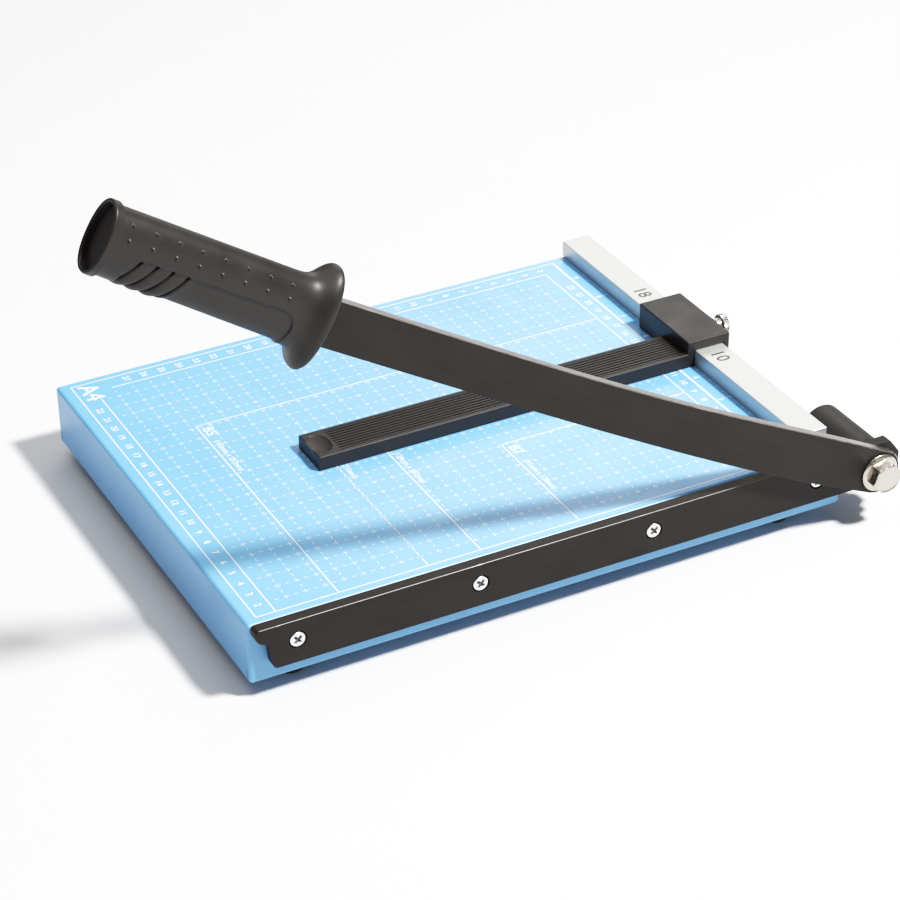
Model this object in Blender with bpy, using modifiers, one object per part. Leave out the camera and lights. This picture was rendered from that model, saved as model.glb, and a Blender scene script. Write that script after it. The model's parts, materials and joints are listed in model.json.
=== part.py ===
"""Lever-arm paper trimmer with a fence rail, a sliding gauge and a moulded grip.

Bench frame while modelling: X across the bed (cutting side at +X), Y away from the
operator (0 on the tray's front face), Z up (0 on the table). The whole assembly hangs on
one empty, which is moved at the end so that the origin lies under the middle of the box.
"""
import math

import bmesh
import bpy
from mathutils import Matrix, Vector

MM = 0.001
GAP = 0.3 * MM                    # clearance between pieces that touch
FINE = 0.00001                    # merge distance for turned profiles

# Tray bed: pressed sheet steel with an in-turned lip underneath
BED_WIDTH = 249 * MM
BED_DEPTH = 328 * MM
BED_HEIGHT = 33.2 * MM
BED_SHEET = 1.2 * MM
BED_LIP = 24 * MM
BED_FOLD = 2.2 * MM
FOOT_HEIGHT = 8 * MM
BED_BOTTOM = FOOT_HEIGHT + GAP
BED_TOP = BED_BOTTOM + BED_HEIGHT
BED_SIDE = BED_WIDTH / 2

# Feet
FOOT_RADIUS = 9 * MM
FOOT_X = 108 * MM
FOOT_Y = (27 * MM, 299 * MM)

# Lower blade, bolted to the +X side of the tray
BLADE_THICK = 6.2 * MM
BLADE_TALL = 23.6 * MM
BLADE_BOTTOM = BED_BOTTOM + 9.8 * MM
BLADE_IN = BED_SIDE + GAP
BLADE_OUT = BLADE_IN + BLADE_THICK
BLADE_SCREW_Y = [22.4 * MM + 95.7 * MM * i for i in range(4)]
BLADE_SCREW_Z = BED_BOTTOM + 22.3 * MM
BLADE_START_Y = 1.2 * MM
NOSE_TALL = 8.6 * MM
NOSE_RADIUS = 6 * MM
EAR_REACH = 16.5 * MM
SCREW_RADIUS = 2 * MM
SCREW_HEAD_RADIUS = 3.9 * MM
SCREW_HEAD_DEEP = 2.3 * MM
SCREW_HOLE = SCREW_RADIUS + GAP
BLADE_NUT_HIGH = 3.2 * MM
BLADE_NUT_RADIUS = 4.1 * MM

# Pivot of the swinging arm
PIVOT_Y = 342 * MM
PIVOT_Z = BED_BOTTOM + 21.3 * MM
BOLT_RADIUS = 5 * MM
BOLT_HOLE = BOLT_RADIUS + GAP
BOLT_TIP_X = 84.8 * MM
BUSH_RADIUS = 7.5 * MM
HOUSING_RADIUS = 12 * MM
HOUSING_WALL = 1.5 * MM
HOUSING_LENGTH = 40 * MM
HOUSING_SKIRT = 8.6 * MM
HOUSING_FLOOR = 2.5 * MM
NUT_HIGH = 8 * MM
NUT_RADIUS = 9.2 * MM

# Swinging arm and its grip: U runs from the pivot to the grip, V is up, with the arm level
ARM_THICK = 6 * MM
ARM_IN = BLADE_OUT + GAP
ARM_OUT = ARM_IN + ARM_THICK
ARM_MID = (ARM_IN + ARM_OUT) / 2
ARM_RAISED = math.radians(31)
ARM_BOSS = 12.2 * MM
ARM_START_U = 14 * MM             # where the spine and the edge leave the boss
ARM_END_U = 350.5 * MM            # shoulder, sunk in the grip's guard
TANG_END_U = 436 * MM
TANG_V = (-18 * MM, -4 * MM)
GRIP_START_U = 348 * MM
GRIP_END_U = 463 * MM
GRIP_SIDES = 36
GRIP_WALL = 1.8 * MM
HOLLOW_DEEP = 6 * MM
PLUG_THICK = 3 * MM

# Fence rail
RAIL_X = (-124.3 * MM, 117 * MM)
RAIL_Y = (306.1 * MM, 322.9 * MM)
RAIL_HIGH = 9.1 * MM
RAIL_BOTTOM = BED_TOP + GAP
RAIL_TOP = RAIL_BOTTOM + RAIL_HIGH
RAIL_SCREW_X = (-110 * MM, -3.6 * MM, 103 * MM)

# Sliding gauge: a head that straddles the rail and a ribbed bar towards the operator
HEAD_X = (-31.2 * MM, 19.2 * MM)
HEAD_Y = (301.2 * MM, 327 * MM)
HEAD_TOP = BED_TOP + 15.2 * MM
BAR_X = (-5.8 * MM, 19.2 * MM)
BAR_FRONT_Y = 86.5 * MM
BAR_TOP = BED_TOP + 8.1 * MM
RIB_COUNT = 9
RIB_DEEP = 0.8 * MM
BAR_EDGE = 2 * MM
THUMB_X = -2.8 * MM
THUMB_Z = BED_TOP + 6.8 * MM
THUMB_RADIUS = 5.8 * MM
THUMB_SHANK = 2.5 * MM
THUMB_NECK = 4 * MM
COLLAR_RADIUS = 5 * MM
COLLAR_LONG = 3.4 * MM


# ---------------------------------------------------------------- scene and helpers

for old in list(bpy.data.objects):
    bpy.data.objects.remove(old, do_unlink=True)


def collection(name):
    """A collection linked to the scene."""
    group = bpy.data.collections.new(name)
    bpy.context.scene.collection.children.link(group)
    return group


PARTS = collection("paper_trimmer")
CUTTERS = collection("cutters")


def finish(name, colour, roughness, metallic=0.0):
    """A Principled material."""
    made = bpy.data.materials.new(name)
    made.use_nodes = True
    shader = made.node_tree.nodes["Principled BSDF"]
    shader.inputs["Base Color"].default_value = (*colour, 1)
    shader.inputs["Roughness"].default_value = roughness
    shader.inputs["Metallic"].default_value = metallic
    return made


BLUE_PAINT = finish("blue_paint", (0.42, 0.70, 0.86), 0.45)
BLACK_STEEL = finish("black_steel", (0.035, 0.03, 0.027), 0.42, 0.6)
BRIGHT_STEEL = finish("bright_steel", (0.62, 0.60, 0.57), 0.3, 1.0)
ALUMINIUM = finish("aluminium", (0.80, 0.80, 0.78), 0.4, 0.8)
BLACK_PLASTIC = finish("black_plastic", (0.022, 0.021, 0.02), 0.4)
BRONZE = finish("bronze", (0.55, 0.36, 0.16), 0.35, 1.0)
RUBBER = finish("rubber", (0.02, 0.02, 0.02), 0.8)


def empty(name, location=(0, 0, 0), parent=None):
    """A frame that pieces hang on."""
    frame = bpy.data.objects.new(name, None)
    PARTS.objects.link(frame)
    frame.location = location
    frame.parent = parent
    return frame


BENCH = empty("bench")


def place(piece, surface, parent=BENCH, location=(0, 0, 0), rotation=(0, 0, 0)):
    """Link a finished piece, give it its material and hang it on its frame."""
    PARTS.objects.link(piece)
    piece.data.materials.append(surface)
    piece.location = location
    piece.rotation_euler = rotation
    piece.parent = parent
    return piece


def mesh_object(name, shape, smooth=True):
    """An unlinked object from a bmesh, which is used up."""
    bmesh.ops.recalc_face_normals(shape, faces=shape.faces)
    mesh = bpy.data.meshes.new(name)
    shape.to_mesh(mesh)
    shape.free()
    if smooth:
        mesh.shade_smooth()
        mesh.set_sharp_from_angle(angle=math.radians(35))
    return bpy.data.objects.new(name, mesh)


def block(name, low, high):
    """A box between two corners."""
    low, high = Vector(low), Vector(high)
    shape = bmesh.new()
    middle = Matrix.Translation((low + high) / 2)
    bmesh.ops.create_cube(shape, size=1, matrix=middle @ Matrix.Diagonal((*(high - low), 1)))
    return mesh_object(name, shape, smooth=False)


def rod(name, radius, low, high, segments=40, far_radius=None):
    """A cylinder, or a cone, between two heights on the local Z axis."""
    shape = bmesh.new()
    middle = Matrix.Translation((0, 0, (low + high) / 2))
    top = radius if far_radius is None else far_radius
    bmesh.ops.create_cone(shape, cap_ends=True, segments=segments, radius1=radius,
                          radius2=top, depth=high - low, matrix=middle)
    return mesh_object(name, shape)


def turned(name, profile, steps=40, closed=False):
    """A profile of (radius, height) points turned round the local Z axis."""
    mesh = bpy.data.meshes.new(name)
    edges = [(i, i + 1) for i in range(len(profile) - 1)]
    if closed:
        edges.append((len(profile) - 1, 0))
    mesh.from_pydata([(radius, 0, height) for radius, height in profile], edges, [])
    piece = bpy.data.objects.new(name, mesh)
    screw = piece.modifiers.new("turn", "SCREW")
    screw.axis = "Z"
    screw.steps = screw.render_steps = steps
    screw.use_merge_vertices = True
    screw.merge_threshold = FINE
    screw.use_smooth_shade = True
    return piece


def plate(name, outline, low, high, turn=Matrix.Identity(4)):
    """A flat outline in local XY, filled and extruded from low to high on local Z."""
    flat = bpy.data.curves.new(name, "CURVE")
    flat.dimensions = "2D"
    flat.fill_mode = "BOTH"
    flat.extrude = (high - low) / 2
    line = flat.splines.new("POLY")
    line.points.add(len(outline) - 1)
    for point, (x, y) in zip(line.points, outline):
        point.co = (x, y, 0, 1)
    line.use_cyclic_u = True
    shape_object = bpy.data.objects.new(name, flat)
    CUTTERS.objects.link(shape_object)
    bpy.context.view_layer.update()
    solid = bpy.data.meshes.new_from_object(
        shape_object.evaluated_get(bpy.context.evaluated_depsgraph_get()))
    bpy.data.objects.remove(shape_object)
    shape = bmesh.new()
    shape.from_mesh(solid)
    bmesh.ops.remove_doubles(shape, verts=shape.verts, dist=FINE)
    shape.transform(turn @ Matrix.Translation((0, 0, (low + high) / 2)))
    return mesh_object(name, shape, smooth=False)


# Local XY of a plate laid over bench YZ, with its thickness along bench X
SIDEWAYS = Matrix(((0, 0, 1, 0), (1, 0, 0, 0), (0, 1, 0, 0), (0, 0, 0, 1)))
# Local XY of a plate laid over bench XZ, with its thickness along bench Y
ENDWAYS = Matrix(((1, 0, 0, 0), (0, 0, 1, 0), (0, 1, 0, 0), (0, 0, 0, 1)))
ALONG_X = (0, math.radians(90), 0)
ALONG_Y = (math.radians(-90), 0, 0)


def arc(centre, radius, start, end, steps):
    """Points on an arc, angles in degrees from the first axis."""
    angles = [math.radians(start + (end - start) * i / steps) for i in range(steps + 1)]
    return [(centre[0] + radius * math.cos(a), centre[1] + radius * math.sin(a))
            for a in angles]


def cutter(tool, location=(0, 0, 0), rotation=(0, 0, 0), parent=BENCH):
    """Make an object a hidden cutter."""
    CUTTERS.objects.link(tool)
    tool.location = location
    tool.rotation_euler = rotation
    tool.parent = parent
    tool.hide_render = True
    tool.display_type = "WIRE"
    return tool


def combine(piece, tool, operation="DIFFERENCE"):
    """Cut a tool from a piece, or join it on."""
    change = piece.modifiers.new(tool.name, "BOOLEAN")
    change.operation = operation
    change.solver = "EXACT"
    change.object = tool
    return piece


def bevel(piece, width, segments=2, angle=40):
    """Round the sharp edges of a piece."""
    rounding = piece.modifiers.new("round", "BEVEL")
    rounding.width = width
    rounding.segments = segments
    rounding.limit_method = "ANGLE"
    rounding.angle_limit = math.radians(angle)
    return piece


# ---------------------------------------------------------------- base

def base_tray():
    """Pressed tray: flat top, four skirts and a lip turned in underneath."""
    shape = bmesh.new()
    size = Matrix.Diagonal((BED_WIDTH, BED_DEPTH, BED_HEIGHT, 1))
    centre = Matrix.Translation((0, BED_DEPTH / 2, BED_BOTTOM + BED_HEIGHT / 2))
    bmesh.ops.create_cube(shape, size=1, matrix=centre @ size)
    bottom = [face for face in shape.faces if face.normal.z < -0.5]
    folds = list(shape.edges)
    bmesh.ops.inset_region(shape, faces=bottom, thickness=BED_LIP)
    bmesh.ops.delete(shape, geom=bottom, context="FACES")
    bmesh.ops.bevel(shape, geom=folds, offset=BED_FOLD, segments=3, profile=0.5,
                    affect="EDGES")
    tray = place(mesh_object("base_tray", shape), BLUE_PAINT)
    sheet = tray.modifiers.new("sheet", "SOLIDIFY")
    sheet.thickness = BED_SHEET
    sheet.offset = -1
    upright = (0, 0, 0)
    holes = [((BED_SIDE, y, BLADE_SCREW_Z), ALONG_X) for y in BLADE_SCREW_Y]
    holes += [((x, sum(RAIL_Y) / 2, BED_TOP), upright) for x in RAIL_SCREW_X]
    holes += [((x, y, BED_BOTTOM), upright) for x, y in foot_places()]
    for number, (spot, rotation) in enumerate(holes):
        hole = rod(f"tray_hole_{number}", SCREW_HOLE, -5 * MM, 5 * MM, 20)
        combine(tray, cutter(hole, spot, rotation))


def pan_screw(tip, head_top):
    """Profile of an upward screw: pointed tip above, low domed head below."""
    head = SCREW_HEAD_RADIUS
    return [(0, tip), (SCREW_RADIUS, tip - 0.8 * MM), (SCREW_RADIUS, head_top),
            (head, head_top), (head, head_top - 1.4 * MM), (head - 1 * MM, head_top - 2.2 * MM),
            (0, head_top - 2.4 * MM)]


def foot_places():
    """Centres of the four feet, front pair first."""
    return [(x, y) for y in FOOT_Y for x in (-FOOT_X, FOOT_X)]


def feet():
    """Rubber feet, each with a recess for its own screw."""
    recess, deep = 4.6 * MM, 4 * MM
    profile = [(FOOT_RADIUS, FOOT_HEIGHT), (FOOT_RADIUS - 1.2 * MM, 0.6 * MM),
               (FOOT_RADIUS - 1.8 * MM, 0), (recess, 0), (recess, deep), (SCREW_HOLE, deep),
               (SCREW_HOLE, FOOT_HEIGHT)]
    screw_profile = pan_screw(BED_BOTTOM + 6 * MM, deep - GAP)
    names = ("front_left", "front_right", "rear_left", "rear_right")
    for name, (x, y) in zip(names, foot_places()):
        place(turned(f"foot_{name}", profile, 36, closed=True), RUBBER, location=(x, y, 0))
        place(turned(f"foot_screw_{name}", screw_profile, 24), BRIGHT_STEEL,
              location=(x, y, 0))


# ---------------------------------------------------------------- lower blade

def lower_blade():
    """Ground steel bar with a nose at the front and a chamfered ear at the pivot."""
    top, low = BLADE_BOTTOM + BLADE_TALL, BLADE_BOTTOM
    nose_low = top - NOSE_TALL
    nose_centre = (BLADE_START_Y + NOSE_RADIUS, nose_low + NOSE_RADIUS)
    ear_end = PIVOT_Y + EAR_REACH
    outline = [(BLADE_START_Y, top), *arc(nose_centre, NOSE_RADIUS, 180, 270, 5),
               (8 * MM, nose_low - 1 * MM), (9 * MM, nose_low - 3 * MM), (9 * MM, low),
               (ear_end - 8 * MM, low), (ear_end - 2 * MM, low + 3.5 * MM),
               (ear_end, low + 9 * MM), (ear_end - 0.5 * MM, low + 13 * MM),
               (ear_end - 6 * MM, top)]
    blade = place(plate("lower_blade", outline, BLADE_IN, BLADE_OUT, SIDEWAYS), BLACK_STEEL)
    hole = rod("blade_pivot_hole", BOLT_HOLE, -20 * MM, 20 * MM)
    combine(blade, cutter(hole, (BLADE_IN, PIVOT_Y, PIVOT_Z), ALONG_X))
    sink_deep = SCREW_HEAD_DEEP + 2 * GAP
    sink_wide = SCREW_HEAD_RADIUS + 1.6 * MM
    for number, y in enumerate(BLADE_SCREW_Y):
        hole = rod(f"blade_hole_{number}", SCREW_HOLE, -20 * MM, 20 * MM, 28)
        combine(blade, cutter(hole, (BLADE_IN, y, BLADE_SCREW_Z), ALONG_X))
        sink = rod(f"blade_sink_{number}", SCREW_HOLE, -sink_deep, 1 * MM, 28, sink_wide)
        combine(blade, cutter(sink, (BLADE_OUT, y, BLADE_SCREW_Z), ALONG_X))


def blade_screws():
    """Countersunk screws through the lower blade and the tray wall, with hex nuts inside."""
    head = SCREW_HEAD_RADIUS
    wall_in = BED_SIDE - BED_SHEET - GAP - BLADE_OUT
    nut_in = wall_in - BLADE_NUT_HIGH
    profile = [(0, -0.2 * MM), (head, -0.3 * MM), (head, -0.8 * MM),
               (SCREW_RADIUS, -SCREW_HEAD_DEEP - 0.3 * MM),
               (SCREW_RADIUS, nut_in - 1.5 * MM), (0, nut_in - 2 * MM)]
    for number, y in enumerate(BLADE_SCREW_Y, 1):
        spot = (BLADE_OUT, y, BLADE_SCREW_Z)
        place(turned(f"blade_screw_{number}", profile, 32), BRIGHT_STEEL,
              location=spot, rotation=ALONG_X)
        nut = rod(f"blade_nut_{number}", BLADE_NUT_RADIUS, nut_in, wall_in, 6)
        place(nut, BRIGHT_STEEL, location=spot, rotation=ALONG_X)
        bore = rod(f"blade_nut_bore_{number}", SCREW_HOLE, -30 * MM, 5 * MM, 20)
        combine(nut, cutter(bore, spot, ALONG_X))


# ---------------------------------------------------------------- pivot

def spring_housing():
    """Black sleeve behind the lower blade: the tension spring on one side of its floor, and
    the lock nut sunk in the skirt on the other."""
    outer, inner = HOUSING_RADIUS, HOUSING_RADIUS - HOUSING_WALL
    floor_end = HOUSING_SKIRT + HOUSING_FLOOR
    profile = [(outer, HOUSING_LENGTH), (outer, 1 * MM), (outer - 1 * MM, 0), (inner, 0),
               (inner, HOUSING_SKIRT), (BOLT_HOLE, HOUSING_SKIRT), (BOLT_HOLE, floor_end),
               (inner, floor_end), (inner, HOUSING_LENGTH)]
    place(turned("spring_housing", profile, 48, closed=True), BLACK_PLASTIC,
          location=(housing_end(), PIVOT_Y, PIVOT_Z), rotation=ALONG_X)


def housing_end():
    """X of the skirt's end of the housing."""
    return BLADE_IN - GAP - HOUSING_LENGTH


def pivot_bolt():
    """Hexagon flange bolt that carries the arm."""
    flange, flange_high, hexagon, hex_high = 10.4 * MM, 2.6 * MM, 8.6 * MM, 7 * MM
    tip = BOLT_TIP_X - ARM_OUT
    profile = [(0, flange_high + hex_high / 2), (hexagon - 3 * MM, flange_high + hex_high / 2),
               (hexagon - 1.4 * MM, flange_high), (flange - 0.8 * MM, flange_high * 0.6),
               (flange, GAP * 2), (flange, GAP), (BOLT_RADIUS, GAP),
               (BOLT_RADIUS, tip + 1 * MM), (BOLT_RADIUS - 1 * MM, tip), (0, tip)]
    spot = (ARM_OUT, PIVOT_Y, PIVOT_Z)
    bolt = place(turned("pivot_bolt", profile, 48), BRIGHT_STEEL, location=spot,
                 rotation=ALONG_X)
    head = rod("bolt_hexagon", hexagon, flange_high * 0.4, flange_high + hex_high, 6)
    combine(bolt, cutter(head, spot, ALONG_X), "UNION")


def pivot_nut():
    """Lock nut on the end of the bolt, pulling the housing and its spring up."""
    spot = (housing_end() + HOUSING_SKIRT - GAP, PIVOT_Y, PIVOT_Z)
    nut = place(rod("pivot_nut", NUT_RADIUS, -NUT_HIGH, 0, 6), BRIGHT_STEEL,
                location=spot, rotation=ALONG_X)
    bore = rod("pivot_nut_bore", BOLT_HOLE, -15 * MM, 15 * MM, 32)
    combine(nut, cutter(bore, spot, ALONG_X))


def pivot_spring():
    """Compression spring that draws the arm against the lower blade."""
    wire, mean, turns, per_turn = 0.8 * MM, 7.9 * MM, 6, 16
    start = housing_end() + HOUSING_SKIRT + HOUSING_FLOOR + wire + GAP
    end = BLADE_IN - wire - GAP
    coil = bpy.data.curves.new("pivot_spring", "CURVE")
    coil.dimensions = "3D"
    coil.bevel_depth = wire
    coil.bevel_resolution = 2
    coil.use_fill_caps = True
    line = coil.splines.new("POLY")
    count = turns * per_turn
    line.points.add(count)
    for number, point in enumerate(line.points):
        angle = 2 * math.pi * number / per_turn
        x = start + (end - start) * number / count
        point.co = (x, mean * math.cos(angle), mean * math.sin(angle), 1)
    place(bpy.data.objects.new("pivot_spring", coil), BRIGHT_STEEL,
          location=(0, PIVOT_Y, PIVOT_Z))


# ---------------------------------------------------------------- swinging arm

ARM_FRAME = empty("arm_frame", (0, PIVOT_Y, PIVOT_Z), BENCH)
ARM_FRAME.rotation_euler = (-ARM_RAISED, 0, 0)


def spine_v(u):
    """Height of the arm's spine above the pivot line: it drops, then runs almost level."""
    return -1.4 * MM + 12.4 * MM * math.exp(-((u / (118 * MM)) ** 1.5))


def edge_v(u):
    """Height of the cutting edge: a shallow bow that levels out towards the grip."""
    return -24.2 * MM + 12 * MM * math.exp(-u / (85 * MM))


def swinging_arm():
    """Upper blade: one steel plate with a boss at the pivot and a tang inside the grip."""
    count = 14
    along = [ARM_START_U + (ARM_END_U - ARM_START_U) * i / count for i in range(count + 1)]
    outline = [(-u, edge_v(u)) for u in reversed(along)]
    outline += arc((0, 0), ARM_BOSS, -88, 75, 14)
    outline += [(-u, spine_v(u)) for u in along]
    outline += [(-ARM_END_U, TANG_V[1]), (-TANG_END_U, TANG_V[1]),
                (-TANG_END_U, TANG_V[0]), (-ARM_END_U, TANG_V[0])]
    arm = plate("swinging_arm", outline, ARM_IN, ARM_OUT, SIDEWAYS)
    place(arm, BLACK_STEEL, ARM_FRAME)
    hole = rod("arm_hole", BUSH_RADIUS + GAP, -20 * MM, 20 * MM, 48)
    combine(arm, cutter(hole, (ARM_MID, 0, 0), ALONG_X, ARM_FRAME))


def arm_bush():
    """Plain bush pressed into the arm's boss."""
    half = ARM_THICK / 2 - GAP / 2
    profile = [(BUSH_RADIUS, half), (BUSH_RADIUS, -half), (BOLT_HOLE, -half), (BOLT_HOLE, half)]
    place(turned("arm_bush", profile, 48, closed=True), BRONZE, ARM_FRAME,
          (ARM_MID, 0, 0), ALONG_X)


def grip_section(t):
    """Half width, half height and centre height of the grip; t is 0 at the guard, 1 at the end."""
    taper = 16.7 * MM - 1.2 * MM * t
    guard = math.exp(-(t / 0.062) ** 2)
    under_guard = math.exp(-(t / 0.045) ** 2)
    bell = math.exp(-((1 - t) / 0.035) ** 2)
    half_high = taper + 4.15 * MM * (guard + under_guard) + 1.2 * MM * bell
    half_wide = 10.4 * MM - 0.6 * MM * t + 4 * MM * guard + 0.8 * MM * bell
    centre = -12.4 * MM + 4.9 * MM * t + 4.15 * MM * (guard - under_guard)
    return half_wide, half_high, centre


def grip():
    """Moulded grip: oval sections from the flared guard to the belled end, with a pocket for
    the arm's shoulder, a slot for its tang and a hollow end."""
    stations = [0, 0.018, 0.04, 0.07, 0.11, 0.17, 0.3, 0.5, 0.7, 0.88, 0.94, 0.975, 1]
    shape = bmesh.new()
    rings = []
    for t in stations:
        wide, high, centre = grip_section(t)
        y = -(GRIP_START_U + (GRIP_END_U - GRIP_START_U) * t)
        angles = [2 * math.pi * side / GRIP_SIDES for side in range(GRIP_SIDES)]
        rings.append([shape.verts.new((ARM_MID + wide * math.cos(angle), y,
                                       centre + high * math.sin(angle))) for angle in angles])
    for ring, following in zip(rings, rings[1:]):
        for side in range(GRIP_SIDES):
            after = (side + 1) % GRIP_SIDES
            shape.faces.new((ring[side], ring[after], following[after], following[side]))
    shape.faces.new(rings[0])
    shape.faces.new(rings[-1])
    handle = place(mesh_object("grip", shape), BLACK_PLASTIC, ARM_FRAME)
    inner, outer = ARM_IN - GAP, ARM_OUT + GAP
    pocket_floor = -ARM_END_U - 2 * GAP
    slot = block("tang_slot", (inner, -TANG_END_U - 2 * MM, TANG_V[0] - GAP),
                 (outer, pocket_floor + 2 * MM, TANG_V[1] + GAP))
    pocket = block("shoulder_pocket", (inner, pocket_floor, edge_v(ARM_END_U) - GAP),
                   (outer, -GRIP_START_U + 5 * MM, spine_v(ARM_END_U) + GAP))
    hollow = end_oval("end_hollow", GRIP_WALL, GRIP_END_U - HOLLOW_DEEP, GRIP_END_U + 5 * MM)
    for tool in (slot, pocket, hollow):
        combine(handle, cutter(tool, parent=ARM_FRAME))


def end_oval(name, margin, near_u, far_u):
    """An oval slab across the grip's end, smaller than its section by a margin."""
    wide, high, centre = grip_section(1)
    shape = bmesh.new()
    bmesh.ops.create_cone(shape, cap_ends=True, segments=GRIP_SIDES, radius1=1, radius2=1,
                          depth=far_u - near_u)
    size = Matrix.Diagonal((wide - margin, high - margin, 1, 1))
    stand = Matrix.Rotation(math.radians(90), 4, "X")
    spot = Matrix.Translation((ARM_MID, -(near_u + far_u) / 2, centre))
    shape.transform(spot @ stand @ size)
    return mesh_object(name, shape)


def grip_plug():
    """Plug that closes the hollow end of the grip."""
    near = GRIP_END_U - HOLLOW_DEEP + GAP
    plug = end_oval("grip_plug", GRIP_WALL + GAP, near, near + PLUG_THICK)
    place(plug, BLACK_PLASTIC, ARM_FRAME)


# ---------------------------------------------------------------- fence and gauge

def fence_rail():
    """Flat aluminium rail that squares the paper, screwed from underneath."""
    rail = block("fence_rail", (RAIL_X[0], RAIL_Y[0], RAIL_BOTTOM), (RAIL_X[1], RAIL_Y[1], RAIL_TOP))
    bevel(place(rail, ALUMINIUM), 0.6 * MM)
    middle = sum(RAIL_Y) / 2
    profile = pan_screw(6 * MM, -BED_SHEET - 2 * GAP)
    for number, x in enumerate(RAIL_SCREW_X, 1):
        hole = rod(f"rail_hole_{number}", SCREW_HOLE, -1 * MM, 7 * MM, 20)
        combine(rail, cutter(hole, (x, middle, RAIL_BOTTOM)))
        place(turned(f"rail_screw_{number}", profile, 24), BRIGHT_STEEL,
              location=(x, middle, RAIL_BOTTOM))


GAUGE_FRAME = empty("gauge_frame", parent=BENCH)


def gauge():
    """Sliding gauge: straddling head and ribbed bar, moulded as one."""
    foot, roof = BED_TOP + GAP, RAIL_TOP + GAP
    front, back = RAIL_Y[0] - GAP, RAIL_Y[1] + GAP
    saddle = [(HEAD_Y[0], foot), (HEAD_Y[0], HEAD_TOP), (HEAD_Y[1], HEAD_TOP),
              (HEAD_Y[1], foot), (back, foot), (back, roof), (front, roof), (front, foot)]
    head = plate("gauge", saddle, *HEAD_X, SIDEWAYS)
    place(head, BLACK_PLASTIC, GAUGE_FRAME)
    bar = plate("gauge_bar", bar_section(), BAR_FRONT_Y, HEAD_Y[0] + 1 * MM, ENDWAYS)
    combine(head, cutter(bar, parent=GAUGE_FRAME), "UNION")
    bore = rod("thumb_bore", THUMB_SHANK + GAP, -3 * MM, 10 * MM, 24)
    combine(head, cutter(bore, (THUMB_X, HEAD_Y[1] - 3 * MM, THUMB_Z), ALONG_Y, GAUGE_FRAME))


def bar_section():
    """Cross-section of the ribbed bar, with plain borders either side of the ribs."""
    foot = BED_TOP + GAP
    first = BAR_X[0] + BAR_EDGE
    pitch = (BAR_X[1] - BAR_EDGE - first) / RIB_COUNT
    section = [(BAR_X[1], BAR_TOP), (BAR_X[1], foot), (BAR_X[0], foot), (BAR_X[0], BAR_TOP)]
    for rib in range(RIB_COUNT):
        start = first + rib * pitch
        section += [(start, BAR_TOP), (start + pitch * 0.2, BAR_TOP - RIB_DEEP),
                    (start + pitch * 0.45, BAR_TOP - RIB_DEEP), (start + pitch * 0.65, BAR_TOP)]
    return section


def thumb_screw():
    """Knurled screw through the head's back wall, with its tip on the rail, and its collar."""
    tip = RAIL_Y[1] + 2 * GAP - HEAD_Y[1]
    knob_in, knob_out = 7.2 * MM, 11 * MM
    edge = 0.5 * MM
    profile = [(0, knob_out), (THUMB_RADIUS - edge, knob_out), (THUMB_RADIUS, knob_out - edge),
               (THUMB_RADIUS, knob_in + edge), (THUMB_RADIUS - edge, knob_in),
               (THUMB_NECK, knob_in), (THUMB_NECK, COLLAR_LONG + GAP),
               (THUMB_SHANK, COLLAR_LONG + GAP), (THUMB_SHANK, tip), (0, tip)]
    spot = (THUMB_X, HEAD_Y[1], THUMB_Z)
    place(turned("thumb_screw", profile, 48), BRIGHT_STEEL, GAUGE_FRAME, spot, ALONG_Y)
    bore = THUMB_SHANK + GAP
    ring = [(COLLAR_RADIUS, COLLAR_LONG), (COLLAR_RADIUS, GAP), (bore, GAP), (bore, COLLAR_LONG)]
    place(turned("thumb_collar", ring, 40, closed=True), BLACK_STEEL, GAUGE_FRAME, spot, ALONG_Y)


# ---------------------------------------------------------------- assembly

def origin_under_middle():
    """Move the bench so that the origin is at the middle of the box, on the table."""
    bpy.context.view_layer.update()
    graph = bpy.context.evaluated_depsgraph_get()
    corners = []
    for piece in PARTS.objects:
        if piece.type == "EMPTY":
            continue
        made = piece.evaluated_get(graph)
        mesh = made.to_mesh()
        corners += [made.matrix_world @ vertex.co for vertex in mesh.vertices]
        made.to_mesh_clear()
    low = [min(corner[axis] for corner in corners) for axis in range(3)]
    high = [max(corner[axis] for corner in corners) for axis in range(3)]
    BENCH.location = (-(low[0] + high[0]) / 2, -(low[1] + high[1]) / 2, -low[2])
    bpy.context.view_layer.update()


base_tray()
feet()
lower_blade()
blade_screws()
spring_housing()
pivot_bolt()
pivot_nut()
pivot_spring()
swinging_arm()
arm_bush()
grip()
grip_plug()
fence_rail()
gauge()
thumb_screw()
origin_under_middle()
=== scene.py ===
import json
import math

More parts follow.
